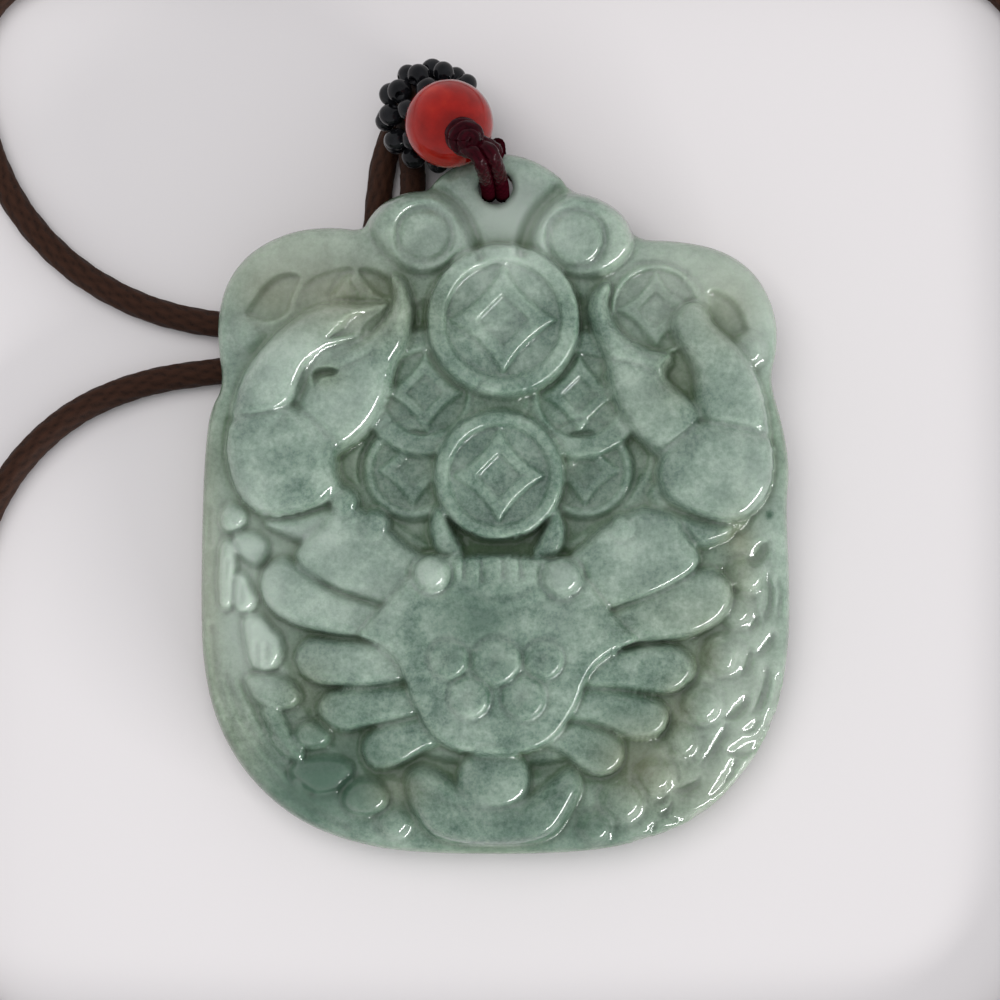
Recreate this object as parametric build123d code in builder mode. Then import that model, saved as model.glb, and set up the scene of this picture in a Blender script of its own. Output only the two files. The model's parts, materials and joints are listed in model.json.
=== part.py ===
from build123d import *
import math
import os

# Driving dimensions in millimetres and degrees

# Jade plaque
plaque_width = 54.0
plaque_height = 64.3
border_thickness = 4.8
ground_thickness = 3.2
root_height = 1.6
border_round = 1.2
back_round = 0.8
hole_diameter = 3.2
hole_inset = 3.05

# Heights of the carving above the flat back
ruyi_top = 6.4
lump_top = 5.9
rear_coin_top = 5.2
ingot_top = 7.2
leg_top = 6.9
stalk_top = 6.6
arm_top = 7.2
wrist_top = 6.6
palm_top = 8.0
outer_finger_top = 7.8
inner_finger_top = 7.3
head_top = 7.4
coin_top = 8.0
shell_top = 8.3
eye_top = 8.6
bump_rise = 0.5

# Carved details
scroll_radius = 4.4
scroll_round = 0.8
boss_radius = 2.35
boss_groove = 0.5
groove_depth = 0.7
upper_coin_radius = 7.0
lower_coin_radius = 5.95
upper_rear_radius = 5.9
lower_rear_radius = 4.6
coin_rim = 1.5
coin_sink = 0.6
star_rise = 0.35
eye_radius = 1.75
dome_radius = 3.3
dome_round = 1.4

# Carnelian bead, black seed beads and cords
bead_diameter = 8.0
bead_bore = 1.7
seed_diameter = 2.15
seed_gap = 0.12
ball_radius = 4.25
ring_turn = 57.0
cord_way = (120.0, 280.0)
core_radius = 2.7
core_height = 3.4
stem_diameter = 1.4
stem_below = 1.4
satin_diameter = 1.3
satin_gap = 0.2
wrap_diameter = 3.3
wrap_width = 1.25
neck_cord_diameter = 2.5
clearance = 0.3
snug = 0.1

# The hole's height above the plaque's middle
hole_height = plaque_height / 2 - hole_inset

# The neck cord passes under the plaque this far below the hole, and props it up
strand_drop = 16.6
strand_crossing = hole_height - strand_drop
prop_height = neck_cord_diameter + clearance
tilt = math.degrees(math.atan2(prop_height, strand_crossing + plaque_height / 2))

# Places on the plaque's plane: the bead and the ball stand this far to the left and above the hole
bead_left = 4.2
bead_above = 5.4
ball_left = 5.9
ball_above = 6.85
bead_place = (-bead_left, hole_height + bead_above)
ball_place = (-ball_left, hole_height + ball_above)

# The origin stands below the middle of the pendant without its neck cord
ball_reach = ball_radius + seed_diameter / 2
lean = math.radians(tilt)
upright_middle = (ball_place[1] - plaque_height / 2) * math.cos(lean)
middle_y = (upright_middle + ball_reach - border_thickness * math.sin(lean)) / 2


def bed_plane():
    """The plaque's tilted back face, with its lower edge resting on the floor."""
    edge_y = -plaque_height / 2 + back_round
    rise = back_round - back_round * math.cos(lean) - edge_y * math.sin(lean)
    return Plane(
        origin=(0, -middle_y, rise),
        x_dir=(1, 0, 0),
        z_dir=(0, -math.sin(lean), math.cos(lean)),
    )


bed = bed_plane()


def spot(x, y):
    """A place given in percent of the plaque's width and height from its middle."""
    return (x / 100 * plaque_width, y / 100 * plaque_height)


def soft_radii(points, closed):
    """Corner radii as large as the two runs at each corner allow."""
    count = len(points)
    corners = range(count) if closed else range(1, count - 1)
    radii = []
    for i in corners:
        before = Vector(points[i]) - Vector(points[i - 1])
        after = Vector(points[(i + 1) % count]) - Vector(points[i])
        half_turn = math.radians(before.get_angle(after)) / 2
        radii.append(0.45 * min(before.length, after.length) / math.tan(half_turn))
    return radii


def convex_limit(points, radii):
    """The smallest radius among the corners that point outwards."""
    count = len(points)
    turns = []
    for i in range(count):
        before = Vector(points[i]) - Vector(points[i - 1])
        after = Vector(points[(i + 1) % count]) - Vector(points[i])
        turns.append(before.cross(after).Z)
    way = math.copysign(1, sum(turns))
    return min(radius for radius, turn in zip(radii, turns) if turn * way > 0)


def raised(form):
    """The edges round the highest face of a form that stands on the plaque."""
    return form.faces().sort_by(Axis(bed.origin, bed.z_dir))[-1].edges()


def pad(table, top, edge):
    """A raised form with a soft outline and a rounded upper edge."""
    points = [spot(x, y) for x, y in table]
    radii = soft_radii(points, True)
    with BuildPart() as form:
        with BuildSketch(bed.offset(root_height)):
            with BuildLine():
                FilletPolyline(*points, radius=radii, close=True)
            make_face()
        extrude(amount=top - root_height)
        fillet(raised(form), min(edge, 0.8 * convex_limit(points, radii)))
    return form.part


def button(x, y, radius, top, edge):
    """A round form with a rounded upper edge."""
    with BuildPart() as form:
        with BuildSketch(bed.offset(root_height)):
            with Locations(spot(x, y)):
                Circle(radius)
        extrude(amount=top - root_height)
        fillet(raised(form), edge)
    return form.part


def leg(x1, y1, radius1, x2, y2, radius2):
    """A plump segment between two round ends, its radii in percent of the plaque's width."""
    with BuildPart() as form:
        with BuildSketch(bed.offset(root_height)):
            with Locations(spot(x1, y1)):
                Circle(radius1 / 100 * plaque_width)
            with Locations(spot(x2, y2)):
                Circle(radius2 / 100 * plaque_width)
            make_hull()
        extrude(amount=leg_top - root_height)
        fillet(raised(form), 0.8 * min(radius1, radius2) / 100 * plaque_width)
    return form.part


def scroll(x, y):
    """The curled end of a cloud head: a round boss inside a ring groove."""
    with BuildPart() as form:
        with BuildSketch(bed.offset(root_height)):
            with Locations(spot(x, y)):
                Circle(scroll_radius)
        extrude(amount=ruyi_top - root_height)
        fillet(raised(form), scroll_round)
        with BuildSketch(bed.offset(ruyi_top)):
            with Locations(spot(x, y)):
                Circle(boss_radius + boss_groove)
                Circle(boss_radius, mode=Mode.SUBTRACT)
        extrude(amount=-groove_depth, mode=Mode.SUBTRACT)
    return form.part


def coin(x, y, radius, top):
    """A round coin with a raised rim, a sunk field and a four-pointed star round a square hole."""
    field = radius - coin_rim
    waist = 0.36 * field
    tip = 0.86 * field
    square = 0.42 * field
    with BuildPart() as form:
        with BuildSketch(bed.offset(root_height)):
            with Locations(spot(x, y)):
                Circle(radius)
        extrude(amount=top - root_height)
        fillet(raised(form), 0.4 * coin_rim)
        with BuildSketch(bed.offset(top)):
            with Locations(spot(x, y)):
                Circle(field)
        extrude(amount=-coin_sink, mode=Mode.SUBTRACT)
        with BuildSketch(bed.offset(top - coin_sink - star_rise)):
            with BuildLine():
                for quarter in range(4):
                    turn = math.radians(90 * quarter)
                    places = [(tip, 0), (waist, math.pi / 4), (tip, math.pi / 2)]
                    ThreePointArc(*[
                        (
                            spot(x, y)[0] + reach * math.cos(turn + angle),
                            spot(x, y)[1] + reach * math.sin(turn + angle),
                        )
                        for reach, angle in places
                    ])
            make_face()
            with Locations(spot(x, y)):
                Rectangle(square, square, rotation=45, mode=Mode.SUBTRACT)
        extrude(amount=2 * star_rise)
    return form.part


def rear_coin(x, y, radius):
    """A coin that lies behind the others, with a rim and a plain sunk field."""
    with BuildPart() as form:
        with BuildSketch(bed.offset(root_height)):
            with Locations(spot(x, y)):
                Circle(radius)
        extrude(amount=rear_coin_top - root_height)
        fillet(raised(form), 0.4 * coin_rim)
        with BuildSketch(bed.offset(rear_coin_top)):
            with Locations(spot(x, y)):
                Circle(radius - coin_rim)
        extrude(amount=-coin_sink, mode=Mode.SUBTRACT)
    return form.part


# Outlines on the plaque, each place in percent of its width and height from its middle
plaque_outline = [
    (12.6, 44.6), (11.0, 46.9), (4.5, 50.0), (-3.1, 50.0), (-9.6, 46.9), (-11.3, 44.7),
    (-14.8, 44.7), (-18.9, 43.3), (-21.6, 40.9), (-22.5, 39.0),
    (-28.1, 39.6), (-34.8, 39.0), (-41.6, 36.2), (-45.7, 31.9), (-47.2, 26.9), (-47.2, 22.6),
    (-46.2, 16.8), (-48.6, 13.4), (-49.5, 7.0), (-49.9, -2.3), (-50.1, -13.7), (-49.9, -22.2),
    (-47.7, -31.1), (-42.3, -39.0), (-33.8, -45.3), (-23.0, -48.8), (-11.1, -50.0),
    (10.9, -50.0), (22.8, -48.8), (34.7, -45.0), (42.8, -38.2), (47.9, -30.2), (49.9, -20.8),
    (50.1, -12.3), (49.4, -0.1), (50.1, 4.8), (48.9, 11.3), (46.5, 17.7), (48.1, 22.6),
    (47.5, 27.9), (44.3, 33.0), (38.7, 36.3), (31.3, 37.6), (23.6, 37.7),
    (22.3, 41.0), (18.2, 43.6),
]
pockets = {
    "left_shoulder": [
        (-15.8, 33.0), (-24.3, 35.0), (-33.1, 32.8), (-39.6, 28.2), (-40.6, 23.9),
        (-33.1, 24.8), (-24.7, 26.8), (-16.5, 27.4),
    ],
    "right_shoulder": [
        (18.7, 32.2), (26.2, 34.5), (34.7, 32.2), (40.6, 28.2), (41.8, 24.2),
        (34.7, 25.4), (26.2, 26.8), (18.7, 27.4),
    ],
    "coin_field": [
        (-16.2, 29.1), (-14.2, 23.4), (-16.5, 14.8), (-25.5, 6.3), (-20.9, -0.9),
        (-11.1, -7.4), (12.6, -6.8), (21.9, -0.9), (27.9, 6.3), (24.5, 10.5),
        (19.8, 17.7), (16.4, 26.2), (17.7, 29.1),
    ],
    "leg_field": [
        (-39.6, -5.8), (-41.6, -13.7), (-35.8, -21.5), (-32.5, -29.6), (-26.7, -36.0),
        (-17.5, -40.0), (0.8, -38.6), (17.7, -40.0), (26.2, -36.5), (31.9, -30.1),
        (35.7, -22.2), (41.8, -16.5), (41.8, -8.3), (21.1, -13.7), (0.8, -19.4),
        (-19.6, -13.7),
    ],
}

# Crab, ingot and stalks: outline, height, rounding of the upper edge
carved_forms = [
    ("left_arm", arm_top, 1.1, [
        (-25.5, 3.7), (-20.9, 0.6), (-17.0, -3.7), (-12.1, -6.3), (-14.8, -12.3),
        (-19.6, -14.8), (-27.2, -12.8), (-34.8, -6.8), (-30.1, -2.6),
    ]),
    ("right_arm", arm_top, 1.1, [
        (27.0, 3.7), (31.9, -0.9), (32.3, -5.8), (35.0, -8.3), (31.9, -12.0),
        (24.5, -14.5), (18.1, -15.1), (14.7, -10.8), (14.0, -6.3), (19.4, -3.7),
        (24.2, 0.3),
    ]),
    ("left_wrist", wrist_top, 0.9, [
        (-40.6, -2.0), (-33.1, -1.0), (-26.7, 1.4), (-29.1, -2.6), (-33.1, -6.6),
        (-38.6, -5.1),
    ]),
    ("right_wrist", wrist_top, 0.9, [
        (30.6, -0.3), (36.4, -2.3), (41.4, -2.3), (39.7, -6.0), (34.7, -8.0),
        (31.9, -5.1),
    ]),
    ("left_inner_finger", inner_finger_top, 1.0, [
        (-33.5, 14.2), (-30.4, 17.1), (-26.0, 19.7), (-22.6, 23.1), (-18.6, 25.2),
        (-17.5, 29.5), (-16.8, 33.2), (-14.4, 32.4), (-13.3, 23.8), (-15.5, 17.4),
        (-19.6, 12.0), (-25.3, 6.8), (-30.1, 10.0),
    ]),
    ("right_inner_finger", inner_finger_top, 1.0, [
        (18.5, 30.6), (17.6, 24.8), (18.7, 18.8), (21.8, 13.1), (26.9, 6.6),
        (33.0, 10.8), (34.7, 12.8), (31.6, 15.4), (27.5, 17.4), (25.5, 21.1),
        (22.0, 23.4), (21.0, 27.0), (20.8, 30.2),
    ]),
    ("left_outer_finger", outer_finger_top, 1.2, [
        (-45.3, 11.4), (-44.7, 15.5), (-41.6, 20.8), (-36.5, 25.9), (-30.6, 29.1),
        (-23.6, 30.0), (-18.2, 30.6), (-16.4, 28.4), (-19.8, 26.2), (-25.5, 24.8),
        (-29.7, 21.7), (-32.1, 17.7), (-33.5, 14.2),
    ]),
    ("right_outer_finger", outer_finger_top, 1.2, [
        (48.5, 10.0), (46.3, 15.1), (44.2, 20.5), (39.4, 24.5), (33.0, 27.9),
        (26.2, 29.8), (20.2, 30.6), (18.4, 28.4), (22.6, 26.4), (28.6, 25.1),
        (32.3, 21.1), (33.3, 16.5), (34.7, 12.3),
    ]),
    ("left_palm", palm_top, 1.5, [
        (-45.3, 11.7), (-39.2, 13.1), (-33.1, 14.2), (-29.4, 9.1), (-24.7, 6.8),
        (-25.3, 2.6), (-29.7, -0.3), (-37.4, -1.7), (-42.3, 0.6), (-45.7, 6.0),
    ]),
    ("right_palm", palm_top, 1.5, [
        (34.7, 12.5), (40.6, 11.5), (46.4, 10.8), (48.4, 6.8), (48.0, 1.7),
        (43.5, -2.0), (36.4, -2.3), (29.2, 0.3), (26.5, 4.6), (29.2, 8.5),
    ]),
    ("left_stalk", stalk_top, 0.6, [
        (-10.1, -0.6), (-7.4, -2.3), (-5.0, -6.3), (-7.7, -9.4), (-10.4, -6.3),
        (-11.1, -3.0),
    ]),
    ("right_stalk", stalk_top, 0.6, [
        (10.9, -0.6), (11.6, -3.7), (10.3, -6.8), (8.4, -8.8), (5.5, -8.3),
        (6.9, -5.8), (8.6, -2.3),
    ]),
    ("head", head_top, 0.8, [
        (-9.4, -8.0), (-4.3, -7.4), (5.0, -7.4), (9.6, -8.3), (13.5, -12.3),
        (7.5, -15.4), (-7.7, -15.4), (-13.1, -12.5),
    ]),
    ("shell", shell_top, 1.2, [
        (-16.5, -14.0), (-23.4, -17.4), (-23.0, -19.8), (-16.9, -20.8), (-14.5, -27.9),
        (-9.4, -34.2), (0.8, -36.0), (10.6, -33.9), (14.3, -27.9), (16.4, -22.5), (23.7, -20.4),
        (24.1, -18.2), (18.7, -14.3), (13.6, -11.7), (0.8, -13.4), (-12.8, -12.0),
    ]),
    ("ingot", ingot_top, 1.0, [
        (-16.2, -38.7), (-12.8, -36.8), (-8.4, -38.2), (-4.3, -41.3), (0.8, -42.2),
        (5.8, -41.6), (10.3, -38.5), (13.0, -37.0), (15.3, -39.6), (13.0, -43.9),
        (8.9, -48.0), (-9.4, -48.0), (-14.2, -44.4),
    ]),
]

# Walking legs: the outer end and its radius, then the inner end and its radius, in percent
walking_legs = [
    (-35.2, -12.3, 4.7, -22.6, -16.0, 2.9),
    (-29.9, -22.5, 4.1, -18.7, -23.1, 3.1),
    (-26.0, -29.2, 3.9, -16.2, -28.3, 2.7),
    (-18.6, -34.5, 4.1, -12.1, -32.9, 2.7),
    (34.5, -14.0, 5.4, 24.5, -17.2, 3.2),
    (29.1, -23.2, 4.4, 19.4, -23.2, 3.4),
    (25.3, -29.9, 4.1, 16.9, -28.8, 2.8),
    (17.7, -35.2, 4.1, 13.5, -33.3, 2.8),
]

# Rounded lumps of the cloud border: place and radius in percent
cloud_lumps = [
    (-43.6, -1.7, 2.9), (-40.9, -6.3, 3.7), (-44.0, -10.3, 3.2), (-39.6, -18.2, 3.4),
    (-36.5, -26.8, 3.6), (-31.1, -33.0, 3.2), (-27.9, -37.9, 3.4), (-21.8, -41.6, 3.7),
    (-17.2, -45.2, 3.0),
    (42.8, -10.1, 3.4), (40.8, -15.1, 3.1), (38.6, -21.5, 3.7), (35.0, -28.6, 3.4),
    (31.6, -33.8, 3.1), (27.0, -38.9, 3.4), (21.4, -42.3, 3.9), (16.9, -45.6, 2.8),
    (-42.1, 24.1, 3.6), (42.8, 21.9, 3.6),
]

# Places of the round forms, in percent: scrolls, rear coins and their radii, front coins, eyes, dome
scrolls = [(-12.6, 37.6), (14.7, 37.6)]
rear_coins = [
    (-11.9, 15.6, upper_rear_radius), (14.3, 15.6, upper_rear_radius),
    (-14.0, 4.8, lower_rear_radius), (15.2, 4.8, lower_rear_radius),
]
front_coins = [(0.6, 4.0, lower_coin_radius), (1.3, 26.0, upper_coin_radius)]
eyes = [(-10.7, -10.05), (10.8, -10.05)]
ingot_dome = (-0.3, -39.0)

# Low bumps on the crab's shell: place and radius in percent
shell_bumps = [
    (-0.1, -21.5, 4.2), (-7.7, -22.2, 3.4), (7.5, -22.2, 3.7), (-4.3, -27.2, 3.9),
    (4.5, -26.8, 3.7),
]


def share(radius):
    """A radius given in percent of the plaque's width."""
    return radius / 100 * plaque_width


def carving():
    """Every raised form of the carving, from the rear ones to the front ones."""
    forms = [button(x, y, share(r), lump_top, 0.45 * share(r)) for x, y, r in cloud_lumps]
    forms += [rear_coin(*row) for row in rear_coins]
    forms += [leg(*row) for row in walking_legs]
    forms += [pad(table, top, edge) for name, top, edge, table in carved_forms]
    forms.append(button(*ingot_dome, dome_radius, ingot_top + bump_rise, dome_round))
    forms += [scroll(*place) for place in scrolls]
    forms += [coin(*row, coin_top) for row in front_coins]
    forms += [button(*place, eye_radius, eye_top, 0.8 * eye_radius) for place in eyes]
    forms += [button(x, y, share(r), shell_top + bump_rise, 0.8 * bump_rise) for x, y, r in shell_bumps]
    return forms


carved = carving()

with BuildPart() as jade_plaque:
    plaque_points = [spot(x, y) for x, y in plaque_outline]
    with BuildSketch(bed):
        with BuildLine():
            FilletPolyline(*plaque_points, radius=soft_radii(plaque_points, True), close=True)
        make_face()
    extrude(amount=border_thickness)
    plate_faces = jade_plaque.faces().sort_by(Axis(bed.origin, bed.z_dir))
    fillet(plate_faces[-1].edges(), border_round)
    fillet(jade_plaque.faces().sort_by(Axis(bed.origin, bed.z_dir))[0].edges(), back_round)
    for table in pockets.values():
        corners = [spot(x, y) for x, y in table]
        with BuildSketch(bed.offset(ground_thickness)):
            with BuildLine():
                FilletPolyline(*corners, radius=soft_radii(corners, True), close=True)
            make_face()
        extrude(amount=border_thickness, mode=Mode.SUBTRACT)
    add(carved)
    with BuildSketch(bed.offset(-clearance)):
        with Locations((0, hole_height)):
            Circle(hole_diameter / 2)
    extrude(amount=border_thickness + 2 * clearance, mode=Mode.SUBTRACT)
jade_plaque.part.label = "jade_plaque"


def seed_offsets():
    """Centres of the black beads round the ball's axis; the lowest ring is open for the cords."""
    pitch = seed_diameter + seed_gap
    step = 2 * math.asin(pitch / 2 / ball_radius)
    offsets = []
    for ring in (-1.5, -0.5, 0.5, 1.5):
        reach = ball_radius * math.cos(ring * step)
        rise = ball_radius * math.sin(ring * step)
        count = int(math.pi / math.asin(pitch / 2 / reach))
        for i in range(count):
            angle = (360 * (i + 0.5) / count + ring_turn * ring) % 360
            if ring > -1 or not cord_way[0] < angle < cord_way[1]:
                turn = math.radians(angle)
                offsets.append(Vector(reach * math.cos(turn), reach * math.sin(turn), rise))
    return offsets


def seat_height():
    """How far the carnelian bead's centre stands above the ball's, seated on the top ring."""
    top_ring = max(seed_offsets(), key=lambda offset: offset.Z)
    contact = bead_diameter / 2 + seed_diameter / 2 + snug
    return top_ring.Z + math.sqrt(contact**2 - top_ring.X**2 - top_ring.Y**2)


def ball_plane():
    """The ball's own plane: it leans towards the carnelian bead and its lowest bead is on the floor."""
    across = bead_place[0] - ball_place[0]
    along = bead_place[1] - ball_place[1]
    up = math.sqrt(seat_height() ** 2 - across**2 - along**2)
    axis = across * bed.x_dir + along * bed.y_dir + up * bed.z_dir
    start = bed.from_local_coords((ball_place[0], ball_place[1], 0))
    lean_plane = Plane(origin=start, x_dir=(1, 0, 0), z_dir=axis)
    lowest = min(lean_plane.from_local_coords(offset).Z for offset in seed_offsets())
    lift = (seed_diameter / 2 - lowest) / bed.z_dir.Z
    return Plane(origin=start + lift * bed.z_dir, x_dir=(1, 0, 0), z_dir=axis)


ball = ball_plane()
bead_centre = ball.from_local_coords((0, 0, seat_height()))
bead_axis = (0.27 * bed.x_dir - 0.32 * bed.y_dir + 0.91 * bed.z_dir).normalized()
bead = Plane(origin=bead_centre, x_dir=(1, 0, 0), z_dir=bead_axis)

with BuildPart(bead) as carnelian_bead:
    Sphere(bead_diameter / 2)
    Cylinder(bead_bore / 2, 2 * bead_diameter, mode=Mode.SUBTRACT)
carnelian_bead.part.label = "carnelian_bead"

with BuildPart(bead) as loop_knot:
    with BuildSketch(bead.offset(-bead_diameter / 2 - stem_below)):
        Circle(stem_diameter / 2)
    extrude(amount=bead_diameter + snug + stem_below)
    with BuildSketch(Plane(origin=bead.origin, x_dir=bead.x_dir, z_dir=-bead.y_dir)) as wraps:
        for turn in range(2):
            middle = bead_diameter / 2 + snug + (turn + 0.5) * wrap_width
            with Locations((wrap_diameter / 4, middle)):
                RectangleRounded(wrap_diameter / 2, wrap_width, 0.4 * wrap_width)
            with Locations((wrap_diameter / 8, middle)):
                Rectangle(wrap_diameter / 4, wrap_width)
    revolve(axis=Axis(bead.origin, bead.z_dir))
loop_knot.part.label = "loop_knot"

with BuildPart(ball) as ball_core:
    Cylinder(core_radius, core_height)
    fillet(ball_core.edges(), 0.3 * core_radius)
ball_core.part.label = "ball_core"

# Route of the neck cord on the floor, from below the hole: out under the left shoulder, round and back
neck_route = [
    (-9.2, 6.5), (-10.4, 3.9), (-10.9, 0.1), (-11.2, -3.8), (-12.4, -7.5), (-15.1, -10.4),
    (-19.4, -12.2), (-26, -12.5), (-34, -10.5), (-41.5, -5.7), (-47, 1.9), (-50.2, 14.6),
    (-43.3, 22.3), (-24, 23.1), (2, 23.4), (26, 23.1), (44.1, 22.3), (51.2, 15.2), (52, -4.1),
    (52.3, -29.1), (52, -54.1), (51.2, -72.5), (44.1, -79.6), (25, -80.4), (0, -80.7),
    (-24, -80.4), (-43.3, -79.6), (-50.4, -72.5), (-51, -55.1), (-50.1, -39.1), (-46.9, -28.3),
    (-41, -21.3), (-33.5, -17.7), (-25, -16.5), (-18, -15.9), (-12.9, -13.5), (-10.2, -9.7),
    (-8.4, -5.5), (-7.7, -1.7), (-7.75, 1.8),
]


def tube(points, radii, diameter):
    """A round cord of straight runs joined by tangent arcs."""
    with BuildPart() as cord:
        with BuildLine():
            path = FilletPolyline(*points, radius=radii)
        with BuildSketch(Plane(origin=path @ 0, z_dir=path % 0)):
            Circle(diameter / 2)
        sweep(path=path)
    return cord.part, path.length


route = [Vector(x, hole_height + y - middle_y, neck_cord_diameter / 2) for x, y in neck_route]
route_radii = soft_radii(route, False)
neck_cord_part, neck_cord_length = tube(route, route_radii, neck_cord_diameter)
with BuildPart() as neck_cord:
    add(neck_cord_part)
neck_cord.part.label = "neck_cord"
print("neck cord length", round(neck_cord_length, 1), "volume over section times length",
      round(neck_cord.part.volume / (math.pi * neck_cord_diameter**2 / 4 * neck_cord_length), 4))
print("radii", [round(radius, 1) for radius in route_radii])

with BuildPart() as black_beads:
    for offset in seed_offsets():
        with Locations(ball.from_local_coords(offset)):
            Sphere(seed_diameter / 2)
black_beads.part.label = "black_beads"

hole = Plane(origin=bed.from_local_coords((0, hole_height, 0)), x_dir=bed.x_dir, z_dir=bed.z_dir)


def lying(above):
    """How far from the plaque's back a satin strand lies on the floor, this far above the hole."""
    return (satin_diameter / 2 - hole.origin.Z - above * hole.y_dir.Z) / hole.z_dir.Z


# Middle of the satin pair from the hole's back, and the way from its left strand to its right one
satin_route = [
    ((-2.28, 2.56, 13.62), (0.96, 0.2, -0.2)),
    ((-1.9, 2.1, 14.93), (0.94, 0.33, 0)),
    ((-0.85, 0.65, 14.7), (0.9, 0.42, 0)),
    ((-0.1, 0, 10.5), (1, 0.1, 0)),
    ((0, 0, 7.2), (1, 0, 0)),
    ((0, 0, lying(0)), (1, 0, 0)),
    ((0.5, 4.3, lying(4.3)), (1, 0, 0)),
    ((0.5, 4.3, 4.7), (1, 0, 0)),
    ((0.55, 2.6, 7.2), (1, 0, 0)),
    ((0.45, 2.65, 9.4), (1, -0.1, 0)),
    ((0.4, 2.95, 11.2), (0.93, -0.35, 0.68)),
    ((-1.15, 3.36, 11.73), (0.27, -0.32, 0.91)),
]
strands = []
for half in (-0.5, 0.5):
    offset = half * (satin_diameter + satin_gap)
    strand = [hole.from_local_coords(Vector(place) + offset * Vector(side)) for place, side in satin_route]
    strands.append(tube(strand, soft_radii(strand, False), satin_diameter)[0])
with BuildPart() as hanging_loop:
    add(strands)
hanging_loop.part.label = "hanging_loop"

os.makedirs("parts", exist_ok=True)
export_step(jade_plaque.part, "parts/jade_plaque.step")
export_step(hanging_loop.part, "parts/hanging_loop.step")
export_step(loop_knot.part, "parts/loop_knot.step")
export_step(carnelian_bead.part, "parts/carnelian_bead.step")
export_step(ball_core.part, "parts/ball_core.step")
export_step(black_beads.part, "parts/black_beads.step")
export_step(neck_cord.part, "parts/neck_cord.step")
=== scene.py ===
import json
import math
import random

import bmesh
import bpy
import numpy as np
from mathutils import Matrix, Vector


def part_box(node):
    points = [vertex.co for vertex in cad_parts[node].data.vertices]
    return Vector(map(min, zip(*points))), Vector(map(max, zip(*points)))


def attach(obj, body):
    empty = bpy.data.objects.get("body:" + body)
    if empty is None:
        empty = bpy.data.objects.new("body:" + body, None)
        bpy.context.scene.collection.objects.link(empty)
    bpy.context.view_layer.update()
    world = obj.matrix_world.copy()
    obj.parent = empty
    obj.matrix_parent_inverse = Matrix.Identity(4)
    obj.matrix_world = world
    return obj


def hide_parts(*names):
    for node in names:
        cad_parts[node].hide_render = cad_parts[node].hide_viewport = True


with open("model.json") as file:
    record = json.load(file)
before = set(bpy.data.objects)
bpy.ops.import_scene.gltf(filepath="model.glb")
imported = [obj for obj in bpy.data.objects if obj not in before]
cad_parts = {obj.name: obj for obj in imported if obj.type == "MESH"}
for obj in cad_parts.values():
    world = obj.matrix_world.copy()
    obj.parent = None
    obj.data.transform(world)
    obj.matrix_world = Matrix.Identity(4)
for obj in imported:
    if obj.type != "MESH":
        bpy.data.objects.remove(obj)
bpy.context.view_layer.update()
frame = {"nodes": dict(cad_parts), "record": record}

# Sizes in millimetres, turned into metres by MM
MM = 0.001
PLAQUE_WIDTH = 54.0
PLAQUE_HEIGHT = 64.3
BORDER = 4.8
BORDER_ROUND = 1.3
BACK_ROUND = 0.8
HOLE_PLACE = (0.0, 29.1)
HOLE_RADIUS = 1.6
HOLE_ROUND = 0.5
GRID_CELLS = 300
LUMP_FOOT = 3.8
MOAT_DEPTH, MOAT_MIDDLE, MOAT_WIDTH = 0.2, 0.15, 0.25
COIN_ROUND = 0.45
COIN_SLOPE = 0.3
BUMP_RISE, BUMP_ROUND = 0.7, 0.9
BUMP_RING, BUMP_RING_WIDTH = 0.38, 0.22
CHIP_SLOPE, CHIP_BITE, CHIP_LIMIT, CHIP_REACH = 0.75, 0.12, 0.8, 1.6
SEED_RADIUS = 1.075
SEED_SWELL = 0.07
SEED_HOLE = 0.36
HEART_RADIUS = 3.5
HEART_HOLE = 0.3
BEAD_RADIUS = 4.0
BEAD_HOLE = 0.85
BEAD_TILT = (0.27, -0.32, 0.91)
SATIN = 1.38
SATIN_PRESS = 0.14
DULL_TOP, DULL_DEPTH = 13.0, 2.5
NECK_CORD = 2.5
SPLINE_STEPS = 16
STUB_CORD = 2.4
STEM_CORD = 1.4
TURN_CORD = 1.3

# Braids: step along the tube, points round it, strands, pitch, share of the radius that is relief
BROWN_BRAID = dict(step=0.26, around=28, strands=8, pitch=3.0, relief=0.10)
LOOP_BRAID = dict(step=0.08, around=24, strands=6, pitch=1.3, relief=0.16)
STEM_BRAID = dict(step=0.10, around=24, strands=6, pitch=1.3, relief=0.14)
TURN_BRAID = dict(step=0.09, around=24, strands=6, pitch=1.4, relief=0.16)

# Coin's star, in shares of the field's radius: middle and radius of the arcs that cut its sides, its
# reach, half diagonal of its square hole, and the ring groove round the hole
STAR_MIDDLE, STAR_ARC, STAR_REACH, STAR_HOLE, STAR_GROOVE = 1.778, 1.965, 0.98, 0.45, 0.56

# How the painted shade of hollows and creases is found: spreads in grid cells with their weights, where
# it starts and its limit
HOLLOW_SHADE_SPREADS = ((14, 0.16), (4, 0.26))
HOLLOW_SHADE_START, HOLLOW_SHADE_LIMIT = 0.09, 0.65

# Colours of the stone, in linear light: pale, dark and warm for its clouds (a few of them painted light
# and painted shade, see CLOUDS), and the olive of the painted shade in hollows, creases and the hanging
# hole
STONE_PALE = (0.47, 0.54, 0.475)
STONE_DARK = (0.055, 0.110, 0.075)
STONE_WARM = (0.30, 0.28, 0.18)
STONE_HOLLOW_SHADE = (0.092, 0.145, 0.062)

# The plaque's flat back, as the record states it
back_face = frame["record"]["mounts"][0]
BED_ORIGIN = Vector(back_face["pos_m"])
BED_UP = -Vector(back_face["axis"]).normalized()
BED_X = Vector((1, 0, 0))
BED_Y = BED_UP.cross(BED_X)


def on_bed(place):
    """A point of the frame in metres, from millimetres across, along and above the plaque's back."""
    u, v, w = (float(value) for value in place)
    return BED_ORIGIN + MM * (u * BED_X + v * BED_Y + w * BED_UP)


def spot(place):
    """Millimetres from the plaque's middle, from thousandths of its width and height."""
    return place[0] / 1000 * PLAQUE_WIDTH, place[1] / 1000 * PLAQUE_HEIGHT


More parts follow.
